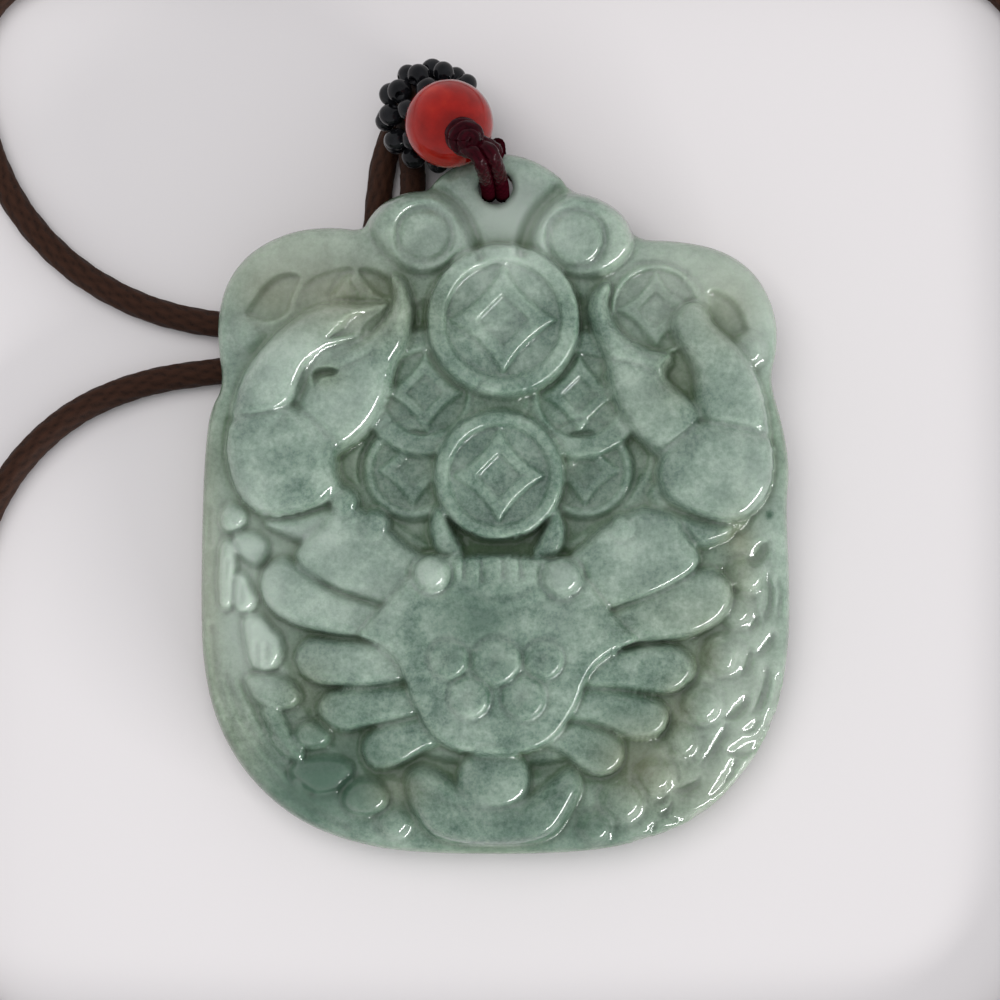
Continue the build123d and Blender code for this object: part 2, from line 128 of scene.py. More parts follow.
def soft_line(points, closed, steps=8):
    """A quadratic B-spline with these control points, as an array of points."""
    points = np.array(points, float)
    count = len(points)
    t = np.linspace(0, 1, steps, endpoint=False)[:, None]
    pieces = []
    for i in range(count) if closed else range(1, count - 1):
        start = (points[i - 1] + points[i]) / 2
        end = (points[i] + points[(i + 1) % count]) / 2
        if not closed and i == 1:
            start = points[0]
        if not closed and i == count - 2:
            end = points[-1]
        pieces.append((1 - t) ** 2 * start + 2 * t * (1 - t) * points[i] + t**2 * end)
    if not closed:
        pieces.append(points[-1:])
    return np.vstack(pieces)


def smooth_step(value):
    """0 below 0, 1 above 1 and an even rise between them."""
    value = np.clip(value, 0, 1)
    return value * value * (3 - 2 * value)


# Places on the face are in thousandths of the plaque's width and height from its middle.
# Outline of the plaque, anticlockwise from the hanging lobe's right side
OUTLINE = [
    (126, 446), (110, 469), (45, 500), (-31, 500), (-96, 469), (-113, 447), (-148, 447), (-189, 433),
    (-216, 409), (-225, 390), (-281, 396), (-348, 390), (-416, 362), (-457, 319), (-472, 269),
    (-472, 226), (-462, 168), (-486, 134), (-495, 70), (-499, -23), (-501, -137), (-499, -222),
    (-477, -311), (-423, -390), (-338, -453), (-230, -488), (-111, -500), (109, -500), (228, -488),
    (347, -450), (428, -382), (479, -302), (499, -208), (501, -123), (494, -1), (501, 48), (489, 113),
    (465, 177), (481, 226), (475, 279), (443, 330), (387, 363), (313, 376), (236, 377), (223, 410),
    (182, 436),
]

# Sunk fields, cut first: height of the floor and width of the slope, then the outline
FIELDS = {
    "coin field": ((4.1, 0.8), [(-162, 305), (-138, 234), (-160, 148), (-255, 63), (-209, -9),
        (-111, -74), (126, -68), (219, -9), (279, 63), (245, 105), (182, 177), (146, 262),
        (170, 310)]),
    "leg field": ((4.3, 0.9), [(-396, -50), (-416, -137), (-370, -215), (-335, -296), (-275, -360),
        (-175, -410), (8, -386), (177, -410), (262, -375), (325, -301), (367, -222), (418, -165),
        (418, -63), (211, -137), (8, -194), (-196, -137)]),
    "left shoulder, outer recess": ((4, 0.5), [(-431, 268), (-413, 291), (-396, 311), (-370, 329),
        (-338, 333), (-326, 322), (-342, 295), (-347, 272), (-379, 255), (-409, 262)]),
    "left shoulder, panel": ((4.4, 0.5), [(-345, 271), (-343, 293), (-326, 319), (-281, 336),
        (-243, 342), (-233, 330), (-247, 313), (-267, 299), (-294, 286), (-328, 274)]),
    "left shoulder, inner recess": ((3.9, 0.6), [(-236, 339), (-209, 338), (-182, 329), (-170, 308),
        (-175, 289), (-196, 291), (-219, 308), (-236, 325)]),
    "right shoulder, recess": ((4, 0.5), [(360, 311), (384, 303), (408, 291), (425, 265), (433, 244),
        (418, 238), (408, 228), (384, 244), (362, 259), (357, 286)]),
}

# Forms of the carving, from the ground up to the nearest. A raised one has its height at the edge and
# on top, how far its shoulder is rounded, and its crown; a cut has its floor's height and its slope
FORMS = {
    "left shoulder, knob": ((3.6, 5.4, 1.6, 0), [(-284, 294), (-264, 322), (-247, 332), (-230, 314),
        (-218, 296), (-240, 278), (-270, 280)]),
    "left scroll": ((4.6, 6.2, 1.2, 0.2), [(-218, 396), (-199, 420), (-172, 437), (-133, 447),
        (-92, 446), (-62, 427), (-40, 400), (-28, 372), (-36, 350), (-69, 345), (-94, 333),
        (-121, 326), (-155, 333), (-186, 355), (-206, 376)]),
    "right scroll": ((4.6, 6.2, 1.2, 0.2), [(235, 380), (219, 413), (177, 437), (138, 446),
        (109, 437), (84, 419), (65, 393), (58, 365), (84, 345), (109, 330), (143, 321), (181, 323),
        (214, 340), (231, 359)]),
    "ground between the legs": ((4.4, 5.5, 2, 0), [(-260, -80), (-340, -95), (-330, -150),
        (-275, -195), (-265, -260), (-210, -310), (-155, -350), (-50, -375), (60, -375), (140, -360),
        (190, -325), (245, -270), (270, -200), (335, -150), (330, -100), (260, -80), (0, -90)]),
    "ground below the left palm": ((4.4, 5.8, 1.2, 0), [(-410, -10), (-380, -40), (-300, -45),
        (-245, -25), (-235, 30), (-300, 40), (-400, 40)]),
    "ground below the right palm": ((4.4, 5.8, 1.2, 0), [(255, 40), (260, -15), (300, -30),
        (360, -45), (420, -40), (440, 0), (400, 40)]),
    "left leg 4": ((5.2, 6.6, 0.9, 0.3), [(-230, -346), (-218, -326), (-192, -313), (-153, -306),
        (-120, -294), (-70, -310), (-85, -342), (-116, -348), (-153, -369), (-192, -380),
        (-218, -372)]),
    "left leg 3": ((5.3, 6.8, 0.9, 0.3), [(-303, -286), (-289, -268), (-264, -262), (-218, -262),
        (-165, -256), (-110, -258), (-105, -298), (-131, -302), (-169, -308), (-218, -318),
        (-257, -325), (-282, -316), (-299, -303)]),
    "left leg 2": ((5.4, 7, 1, 0.3), [(-342, -215), (-328, -194), (-299, -188), (-264, -194),
        (-201, -194), (-140, -196), (-125, -250), (-169, -256), (-218, -261), (-282, -259),
        (-309, -255), (-331, -241)]),
    "left leg 1": ((5.4, 7.1, 1.1, 0.3), [(-399, -108), (-389, -85), (-358, -73), (-336, -84),
        (-310, -100), (-280, -119), (-240, -133), (-180, -142), (-180, -188), (-257, -189),
        (-309, -181), (-353, -168), (-381, -152), (-397, -131)]),
    "right leg 4": ((5.2, 6.5, 0.9, 0.3), [(70, -342), (85, -303), (135, -306), (165, -315),
        (208, -328), (219, -348), (216, -370), (192, -386), (165, -386), (135, -372), (108, -350)]),
    "right leg 3": ((5.3, 6.8, 0.9, 0.3), [(100, -280), (120, -252), (162, -258), (208, -264),
        (262, -272), (291, -285), (296, -308), (279, -328), (247, -336), (219, -332), (192, -319),
        (153, -308), (110, -308)]),
    "right leg 2": ((5.4, 7, 1, 0.3), [(120, -246), (140, -206), (208, -205), (240, -202),
        (286, -197), (318, -204), (338, -224), (336, -244), (313, -266), (282, -271), (240, -266),
        (192, -261), (135, -262)]),
    "right leg 1": ((5.4, 7.1, 1.1, 0.3), [(160, -170), (194, -150), (243, -131), (294, -113),
        (333, -95), (364, -89), (394, -104), (404, -131), (387, -164), (342, -187), (294, -195),
        (245, -197), (190, -203)]),
    "left wrist": ((5, 6.7, 1.1, 0.2), [(-396, -27), (-379, -37), (-331, -56), (-297, -60),
        (-277, -48), (-255, -23), (-236, -11), (-255, 6), (-289, -3), (-331, -16), (-365, -19)]),
    "right wrist": ((5, 6.8, 1.1, 0.2), [(286, -6), (313, -14), (348, -24), (381, -26), (397, -23),
        (406, -34), (399, -48), (372, -57), (342, -66), (319, -44), (299, -23)]),
    "left arm": ((5.8, 7.3, 1, 0.3), [(-342, -74), (-325, -51), (-301, -34), (-281, -9), (-255, 6),
        (-230, -3), (-209, -14), (-189, -28), (-165, -46), (-145, -63), (-105, -76), (-110, -105),
        (-150, -142), (-182, -148), (-209, -138), (-255, -127), (-297, -108), (-326, -94)]),
    "right arm": ((5.8, 7.3, 1, 0.3), [(110, -80), (157, -53), (177, -34), (204, -23), (245, -3),
        (282, -9), (306, -14), (319, -40), (342, -64), (347, -83), (333, -100), (294, -120),
        (253, -135), (214, -144), (192, -153), (150, -135), (115, -105)]),
    "left inner finger": ((6, 7.8, 1.8, 0.3), [(-338, 142), (-322, 165), (-316, 193), (-303, 216),
        (-284, 229), (-242, 232), (-212, 241), (-186, 264), (-174, 287), (-173, 305), (-179, 323),
        (-165, 325), (-148, 313), (-138, 283), (-140, 248), (-152, 217), (-169, 198), (-174, 170),
        (-187, 137), (-209, 108), (-233, 88), (-262, 72), (-290, 50), (-345, 80), (-345, 130)]),
    "left outer finger": ((5.4, 8.1, 2.2, 0.3), [(-448, 121), (-440, 157), (-423, 191), (-394, 224),
        (-355, 256), (-309, 282), (-267, 288), (-221, 283), (-177, 288), (-181, 274), (-199, 254),
        (-230, 229), (-257, 217), (-281, 208), (-306, 191), (-323, 168), (-336, 130), (-345, 85),
        (-400, 60), (-454, 70)]),
    "left claw, facet": ((6.9, 0.25), [(-180, 284), (-196, 281), (-221, 274), (-245, 268),
        (-274, 241), (-306, 214), (-326, 194), (-336, 170), (-340, 148), (-333, 144), (-325, 164),
        (-319, 192), (-305, 213), (-285, 232), (-242, 236), (-214, 245), (-188, 268)]),
    "left claw, almond": ((6.3, 0.4), [(-229, 249), (-211, 264), (-184, 279), (-179, 269),
        (-192, 252), (-209, 241), (-229, 238)]),
    "left claw, mouth": ((5.9, 0.6), [(-309, 168), (-313, 184), (-304, 193), (-281, 196),
        (-258, 190), (-270, 177), (-292, 179), (-303, 163)]),
    "left palm": ((6.6, 8.2, 1.9, 0.3), [(-448, 118), (-408, 123), (-365, 130), (-340, 141),
        (-311, 120), (-284, 95), (-262, 78), (-269, 60), (-264, 34), (-252, 20), (-281, 1),
        (-331, -13), (-379, -19), (-416, -7), (-440, 20), (-453, 56), (-455, 91)]),
    "right outer finger": ((5.4, 7.4, 1.6, 0.3), [(305, 275), (330, 290), (354, 284), (367, 259),
        (387, 242), (411, 226), (435, 198), (452, 162), (462, 120), (466, 75), (410, 55), (355, 70),
        (342, 120), (333, 150), (336, 177), (326, 202), (309, 226), (292, 251)]),
    "right inner finger": ((5.6, 7.5, 1.3, 0.3), [(187, 319), (198, 308), (189, 288), (194, 268),
        (209, 246), (235, 228), (267, 217), (299, 215), (302, 198), (287, 184), (299, 171),
        (313, 160), (330, 150), (350, 125), (365, 85), (330, 55), (290, 50), (270, 70), (248, 87),
        (225, 105), (201, 141), (187, 177), (187, 204), (170, 231), (157, 258), (153, 282),
        (162, 301)]),
    "right claw, mouth": ((5.6, 0.8), [(275, 199), (286, 208), (299, 219), (319, 217), (330, 197),
        (336, 174), (333, 152), (319, 154), (309, 165), (299, 174), (286, 171), (279, 182)]),
    "right palm": ((6.6, 8.2, 1.9, 0.3), [(277, 70), (299, 83), (323, 97), (342, 114), (355, 118),
        (397, 110), (457, 100), (469, 84), (470, 48), (462, 17), (443, -6), (418, -24), (384, -26),
        (347, -17), (306, -4), (279, 14), (270, 41)]),
    "left stalk": ((5.8, 7.3, 0.8, 0), [(-99, 0), (-113, -26), (-110, -51), (-94, -80), (-46, -80),
        (-62, -49), (-79, -26), (-86, -9)]),
    "right stalk": ((5.8, 7.3, 0.8, 0), [(102, 0), (116, -23), (120, -48), (106, -80), (55, -80),
        (73, -49), (89, -23), (92, -7)]),
    "shell and head": ((7.4, 8.3, 0.7, 0.2), [(-235, -187), (-216, -168), (-186, -141), (-162, -120),
        (-140, -100), (-121, -80), (-77, -74), (8, -70), (84, -77), (119, -81), (143, -97),
        (167, -123), (191, -148), (214, -172), (245, -192), (208, -205), (174, -222), (153, -245),
        (140, -278), (126, -302), (96, -335), (57, -352), (-1, -356), (-72, -350), (-104, -333),
        (-126, -303), (-143, -272), (-155, -241), (-172, -215), (-199, -197)]),
    "left border 1": ((5, 6.3, 1, 0), [(-469, -15), (-452, 3), (-430, -1), (-417, -18), (-426, -36),
        (-448, -43), (-467, -36)]),
    "left border 2": ((5, 6.3, 1, 0), [(-449, -46), (-425, -37), (-398, -40), (-380, -58),
        (-387, -80), (-406, -91), (-422, -82), (-443, -68)]),
    "left border 3": ((5, 6.3, 1, 0), [(-468, -49), (-440, -49), (-436, -84), (-438, -115),
        (-442, -150), (-470, -152), (-471, -100)]),
    "left border 4": ((5, 6.2, 1, 0), [(-442, -95), (-418, -98), (-414, -116), (-401, -130),
        (-407, -152), (-428, -159), (-447, -147)]),
    "left border 5": ((5, 6.3, 1, 0), [(-430, -159), (-400, -153), (-379, -174), (-360, -186),
        (-356, -215), (-376, -239), (-414, -238), (-425, -195)]),
    "left border 6": ((5, 6.2, 1, 0), [(-427, -244), (-391, -240), (-359, -244), (-328, -262),
        (-328, -283), (-353, -294), (-396, -290), (-422, -269)]),
    "left border 7": ((4.9, 6, 1, 0), [(-398, -283), (-371, -280), (-351, -310), (-337, -336),
        (-319, -356), (-326, -369), (-350, -367), (-377, -346), (-393, -314)]),
    "left border 8": ((4.9, 6.2, 1, 0), [(-343, -323), (-326, -307), (-298, -310), (-277, -326),
        (-283, -345), (-315, -350), (-339, -340)]),
    "left border 9": ((4.6, 5.8, 1.6, 0.2), [(-354, -377), (-326, -362), (-285, -356), (-247, -363),
        (-233, -385), (-256, -406), (-305, -415), (-344, -402)]),
    "left border 10": ((4.7, 6.3, 1.2, 0), [(-264, -420), (-247, -394), (-210, -385), (-180, -403),
        (-179, -430), (-209, -445), (-250, -440)]),
    "ingot": ((4.4, 7, 1.4, 0.2), [(-162, -387), (-128, -368), (-84, -382), (-43, -413), (8, -422),
        (58, -416), (103, -385), (130, -370), (153, -396), (130, -439), (89, -486), (-94, -486),
        (-142, -444)]),
}

# Round lumps of the border: place, radius in millimetres, top height
LUMPS = [
    (-421, 241, 1.7, 5.5), (429, 219, 1.7, 5.6), (-172, -452, 1.8, 5.7), (428, -101, 1.9, 5.8),
    (408, -151, 1.7, 5.6), (386, -215, 2, 5.8), (350, -286, 1.9, 5.7), (316, -338, 1.7, 5.6),
    (270, -389, 1.9, 5.7), (214, -423, 2.2, 5.8), (169, -461, 1.7, 5.6),
]

# Eyes, the ingot's dome, beads on the arms and the knob between the coins: place, radius, edge
# height, top height
BALLS = [
    (-107, -98, 1.7, 7.9, 9.4), (112, -103, 1.8, 7.9, 9.4), (-3, -393, 3.4, 5.4, 7.2),
    (-255, 4, 1.3, 6.6, 7.7), (-204, -30, 1.4, 6.6, 7.7), (214, -33, 1.1, 6.6, 7.6),
    (10, 145, 2.4, 4.8, 6),
]

# Coins: place, radius, rim, edge height, top height and how deep the field lies
REAR_COINS = [
    (272, 276, 4.3, 0.5, 4, 5.3, 0.7), (-206, 250, 2.1, 0.2, 5, 5.9, 0.4),
    (-119, 158, 5.95, 2.1, 4.4, 5.8, 0.7), (143, 155, 5.95, 2.1, 4.4, 5.8, 0.7),
    (-140, 48, 4.65, 1, 3.8, 5.1, 0.6), (152, 48, 4.5, 0.9, 3.8, 5.1, 0.6),
]
FRONT_COINS = [(6, 40, 5.95, 1.35, 6.3, 7.9, 0.9), (13, 260, 7, 1.7, 6.3, 7.9, 0.95)]

# Ring grooves of the scrolls and round the eyes: place, radius, depth, width
RINGS = [
    (-119.5, 382, 2.5, 0.6, 0.36), (136, 377, 2.65, 0.6, 0.36), (-107, -98, 1.95, 0.35, 0.22),
    (112, -103, 2.1, 0.35, 0.22),
]

# Low bumps on the shell: place and radius
SHELL_BUMPS = [
    (-79, -219, 1.9), (81, -219, 1.85), (-44, -273, 2), (47, -273, 2.1), (2, -222, 2.3),
]

# Cut lines: depth, width, route
GROOVES = [
    (0.35, 0.24, [(-452, 119), (-408, 124), (-365, 131), (-339, 143)]),
    (0.35, 0.24, [(-339, 143), (-311, 121), (-284, 96), (-260, 78)]),
    (0.35, 0.24, [(275, 70), (305, 87), (344, 116)]), (0.35, 0.24, [(344, 117), (397, 111), (462, 99)]),
    (0.25, 0.22, [(-253, 194), (-237, 202), (-206, 215)]),
    (1.1, 0.55, [(109, 449), (86, 433), (64, 412), (50, 387), (43, 359)]),
    (0.9, 0.5, [(-99, 446), (-69, 425), (-50, 402), (-36, 376), (-26, 350)]),
    (0.35, 0.45, [(-142, -390), (-94, -417), (-30, -433), (28, -432), (84, -416), (133, -386)]),
    (0.5, 0.25, [(-51, -73), (-53, -103)]), (0.55, 0.25, [(-23, -72), (-23, -106)]),
    (0.5, 0.25, [(13, -72), (13, -100)]), (0.5, 0.25, [(42, -74), (43, -102)]),
    (0.35, 0.25, [(189, 204), (214, 202), (242, 197), (274, 184), (284, 168)]),
    (0.22, 0.4, [(-80, -98), (-55, -120), (8, -134), (60, -120), (84, -101)]),
    (0.14, 0.35, [(-90, -128), (-50, -146), (8, -154), (64, -144), (94, -128)]),
    (0.45, 0.4, [(-481, -174), (-474, -251), (-453, -301), (-419, -348), (-374, -390), (-313, -434),
        (-254, -459)]),
    (0.5, 0.35, [(-456, -245), (-433, -301), (-403, -339), (-362, -376), (-313, -411)]),
    (0.5, 0.35, [(-426, -255), (-403, -301), (-373, -335), (-342, -366)]),
    (0.3, 0.25, [(-483, -7), (-483, -56)]), (0.35, 0.25, [(-454, -80), (-456, -154)]),
    (0.35, 0.22, [(-442, -110), (-444, -146)]), (0.3, 0.2, [(-429, -113), (-429, -136)]),
    (0.3, 0.2, [(-404, -198), (-402, -234)]), (0.3, 0.2, [(-386, -200), (-387, -226)]),
    (0.4, 0.3, [(438, -75), (448, -69), (462, -56)]),
    (0.4, 0.3, [(460, -103), (462, -125), (460, -156)]),
    (0.4, 0.3, [(478, -108), (482, -128), (480, -159)]),
]

# Flat chisel cuts of the border: place, length, width, turn in degrees
CHIPS = [
    (444, -71, 2, 0.7, 50), (459, -135, 3.2, 0.6, 88), (473, -138, 2.6, 0.6, 82),
    (452, -197, 2.6, 0.8, 52), (419, -223, 2.6, 0.8, 75), (443, -262, 4.2, 1, 76),
    (471, -266, 2.6, 0.7, 80), (403, -285, 2.8, 1.1, 45), (429, -312, 1.8, 0.8, 40),
    (366, -338, 4.4, 0.9, 58), (419, -331, 3.6, 1.6, 35), (384, -380, 4.8, 1, 60),
    (321, -395, 2.6, 1, 18), (278, -416, 1.6, 0.6, 22), (321, -439, 3.4, 0.7, 8),
    (403, -396, 2.6, 0.8, 55), (248, -472, 2, 0.7, 15), (263, -455, 1, 0.6, 30),
    (285, -432, 1.8, 0.6, 40), (436, -169, 1.6, 0.5, 60), (459, -306, 1.8, 0.7, 65),
]

# Clouds of colour: place, half widths in millimetres, how much paler (below 0, darker) and warmer. Most
# are the stone's own paler, darker and warmer clouds. The paler ones on the hanging lobe at (8, 419)
# and (45, 405) are painted light that lifts the lobe out of the shade of the scrolls, the satin loop
# and the red bead. The darker, warmer ones in the claws' mouths at (308, 180) and (-285, 180), in the
# gaps beside the claws, between the legs and along the right border, and in the shoulder recesses are
# painted shade, warmed with the stone's olive brown.
CLOUDS = [
    (-430, -101, 3.6, 9, 1.2, 0), (-396, -205, 2.8, 5, 0.6, 0), (-295, -380, 8, 6, -1, 0),
    # (8, 419): painted light on the hanging lobe
    (177, -471, 7, 3, -0.7, 0), (8, 419, 5, 4.5, 0.9, 0), (-35, -160, 6, 3.6, -0.75, 0),
    (211, -315, 5, 5, -0.5, 0), (-365, 205, 4.5, 5, 0.7, 0), (-235, 130, 4, 5, 0.5, 0),
    (-270, -130, 5, 3, 0.4, 0), (240, 145, 4, 5, 0.35, 0.1), (455, 250, 3.5, 7, 0.6, 0),
    (-348, 350, 10, 5, 0.75, 0.55), (364, 335, 9, 6, 0.85, 0.35), (-490, -100, 1.6, 16, 0.2, 0.7),
    (424, -308, 5, 12, 0.7, 0.3), (-443, -336, 3, 8, 0, 0.4), (330, -420, 8, 4, 0.2, 0.35),
    (-220, 270, 7, 3, 0, 0.5), (-110, -100, 1.8, 1.8, 0.9, 0), (108, -100, 1.8, 1.8, 0.7, 0),
    (300, -155, 6, 3, 0, 0.2), (-260, -230, 6, 2.5, 0.35, 0), (-120, 20, 5, 6, -0.4, 0),
    (0, -430, 9, 4, -0.35, 0), (0, -310, 7, 2.5, 0.3, 0), (150, 80, 5, 6, -0.3, 0),
    (390, 30, 5, 5, 0.2, 0), (-200, -90, 5, 4, 0.3, 0), (240, -60, 4, 4, 0.3, 0),
    (245, -365, 3.6, 3.2, -0.2, 0.8), (-318, -268, 2.2, 3, -0.2, 0.5), (-165, -405, 2.6, 1.8, 0, 0.6),
    (90, -165, 3.5, 3, 0.35, 0), (25, -295, 2, 3.2, -0.6, 0), (-170, -155, 3, 2, 0.3, 0),
    (-80, 385, 6, 4, 0.3, 0), (130, 385, 6, 4, 0.3, 0), (13, 330, 6.5, 1.6, 0.3, 0),
    # (45, 405): painted light on the hanging lobe; (308, 180) and (-285, 180): painted shade in the
    # claws' mouths
    (45, 405, 3.5, 4, 0.6, 0), (308, 180, 1.7, 2.4, -0.6, 0.5), (-285, 180, 1.8, 1.2, -0.5, 0.4),
    (-295, -410, 6.5, 3.2, -0.55, 0), (-310, -46, 3.5, 2, 0.8, 0), (455, -20, 3, 12, 0.4, 0),
    (415, -80, 1.6, 4, -0.3, 0.6), (355, -215, 1.5, 2.5, -0.3, 0.6), (310, -290, 1.8, 2.5, -0.3, 0.7),
    (410, -45, 1.5, 1.5, -0.4, 0.4), (-385, 295, 3, 2.5, -0.25, 0.5), (-270, 305, 3, 2, -0.2, 0.4),
    (-195, 312, 2, 1.5, -0.35, 0.3), (395, 270, 2.5, 3, -0.25, 0.5), (-242, 58, 1.6, 2.5, -0.8, 0.3),
    (464, -16, 0.3, 0.3, -3, 0), (13, 260, 9, 9, -0.35, 0), (13, 260, 4.5, 4.5, 0.6, 0),
    (-145, -15, 2.5, 2.5, 0.5, 0), (155, -15, 2, 2, 0.3, 0),
]


class Sculpt:
    """A field of heights above the plaque's back, over points u, v in millimetres."""

    def __init__(self, u, v):
        self.u, self.v = u, v
        self.height = np.full(u.shape, BORDER)

    def near(self, line, margin):
        """Which points lie in the box round a line."""
        low, high = line.min(0) - margin, line.max(0) + margin
        return (self.u > low[0]) & (self.u < high[0]) & (self.v > low[1]) & (self.v < high[1])

    def distance(self, line, closed, where):
        """Distance from the chosen points to a line, positive inside it where it is closed."""
        u, v = self.u[where], self.v[where]
        nearest = np.full(u.shape, 1e9)
        inside = np.zeros(u.shape, bool)
        ends = np.roll(line, -1, axis=0) if closed else line[1:]
        for (u1, v1), (u2, v2) in zip(line, ends):
            du, dv = u2 - u1, v2 - v1
            along = np.clip(((u - u1) * du + (v - v1) * dv) / max(du * du + dv * dv, 1e-12), 0, 1)
            nearest = np.minimum(nearest, (u - u1 - along * du) ** 2 + (v - v1 - along * dv) ** 2)
            if closed and v1 != v2:
                inside ^= ((v1 > v) != (v2 > v)) & (u < u1 + (v - v1) / (v2 - v1) * du)
        nearest = np.sqrt(nearest)
        return np.where(inside, nearest, -nearest) if closed else nearest

    def raise_to(self, where, depth, low, top, rounding, crown=0.0):
        """Adds a form that rises from low to top over the rounding, and swells by its crown."""
        shoulder = 1 - np.clip(depth / rounding, 0, 1)
        form = low + (top - low) * np.sqrt(1 - shoulder**2)
        if crown:
            swell = np.zeros(self.height.shape)
            swell[where] = np.maximum(depth, 0)
            form += crown * np.tanh(blurred(swell, 5)[where] / 2)
        form = np.where(depth > 0, form, 0)
        moat = MOAT_DEPTH * np.exp(-(((depth + MOAT_MIDDLE) / MOAT_WIDTH) ** 2)) * (depth < 0)
        self.height[where] = np.maximum(self.height[where] - moat, form)

    def sink_to(self, where, depth, floor, slope):
        """Lowers the surface to a floor, with a soft slope inside its outline."""
        share = smooth_step(depth / slope)
        self.height[where] += np.minimum(floor - self.height[where], 0) * share

    def outline_work(self, table):
        """The points near an outline from a table, and their depths inside it."""
        line = soft_line([spot(place) for place in table], True)
        where = self.near(line, 1.0)
        return where, self.distance(line, True, where)

    def circle_work(self, x, y, radius):
        """The points near a circle from a table, and their depths inside it."""
        middle = spot((x, y))
        depth = radius - np.hypot(self.u - middle[0], self.v - middle[1])
        where = depth > -1.0
        return where, depth[where]

    def groove(self, table, deep, wide):
        """Cuts a soft line."""
        line = np.array([spot(place) for place in table])
        line = soft_line(line, False) if len(line) > 2 else line
        where = self.near(line, 2.5 * wide)
        away = self.distance(line, False, where)
        self.height[where] -= deep * np.exp(-((away / wide) ** 2))

    def coin(self, x, y, radius, rim, low, top, deep):
        """A coin: a rim, a sunk field, and in it a four-pointed star with a square hole."""
        where, depth = self.circle_work(x, y, radius)
        self.raise_to(where, depth, low, top, COIN_ROUND)
        middle = spot((x, y))
        field = radius - rim
        u, v = self.u - middle[0], self.v - middle[1]
        inside = (np.hypot(u, v) < field + 0.4) & (np.abs(self.height - top) < 0.5)
        u, v = np.abs(u[inside]), np.abs(v[inside])
        away = np.hypot(u, v)
        sunk = smooth_step((field - away) / COIN_SLOPE + 0.4)
        arc = np.hypot(u - STAR_MIDDLE * field, v - STAR_MIDDLE * field) - STAR_ARC * field
        star = smooth_step(arc / COIN_SLOPE + 0.5)
        star *= smooth_step((STAR_REACH * field - away) / COIN_SLOPE + 0.5)
        square = smooth_step((STAR_HOLE * field - u - v) / COIN_SLOPE + 0.5)
        groove = 0.12 * np.exp(-(((STAR_GROOVE * field - u - v) / 0.22) ** 2)) * star
        self.height[inside] -= deep * sunk * (1 - 0.8 * star * (1 - 0.85 * square)) + groove

    def bump(self, x, y, radius):
        """A low bump with its steeper side at the lower right."""
        middle = spot((x, y))
        u, v = self.u - middle[0], self.v - middle[1]
        away = np.hypot(u, v)
        facing = 0.5 + 0.5 * (0.8 * u - 0.6 * v) / np.maximum(away, 0.01)
        shoulder = 1 - np.clip((radius - away) / BUMP_ROUND, 0, 1)
        rise = BUMP_RISE * np.sqrt(1 - shoulder**2)
        ring = BUMP_RING * np.exp(-(((away - radius) / BUMP_RING_WIDTH) ** 2))
        self.height += rise * (0.45 + 0.55 * facing) - ring * (0.65 + 0.35 * facing)

    def chip(self, x, y, length, width, turn):
        """A flat chisel cut that faces the lower right."""
        middle = spot((x, y))
        u, v = self.u - middle[0], self.v - middle[1]
        c, s = math.cos(math.radians(turn)), math.sin(math.radians(turn))
        along, across = u * c + v * s, u * s - v * c
        spread = (2 * along / length) ** 2 + (across / width) ** 2
        inside = spread < CHIP_REACH
        level = self.height[np.unravel_index(np.argmin(u * u + v * v), u.shape)]
        plane = level - CHIP_BITE - CHIP_SLOPE * across[inside]
        edge = smooth_step((CHIP_REACH - spread[inside]) / 0.5)
        cut = np.minimum(plane - self.height[inside], 0) * edge
        self.height[inside] += np.maximum(cut, -CHIP_LIMIT)

    def soften(self):
        """Evens out single steps of the grid."""
        inner = (slice(1, -1), slice(1, -1))
        for axis in (0, 1):
            beside = np.roll(self.height, 1, axis) + np.roll(self.height, -1, axis)
            self.height[inner] = (self.height / 2 + beside / 4)[inner]


def plaque_grid(outline):
    """Points of a square grid stretched to the outline, as arrays of u and v."""
    steps = np.linspace(-1, 1, GRID_CELLS + 1)
    s, t = np.meshgrid(steps, steps, indexing="ij")
    share = np.maximum(np.abs(s), np.abs(t))
    turn = np.arctan2(t * PLAQUE_HEIGHT, s * PLAQUE_WIDTH)
    angles = np.arctan2(outline[:, 1], outline[:, 0])
    order = np.argsort(angles)
    reach = np.interp(turn, angles[order], np.hypot(*outline.T)[order], period=2 * math.pi)
    return share * reach * np.cos(turn), share * reach * np.sin(turn)


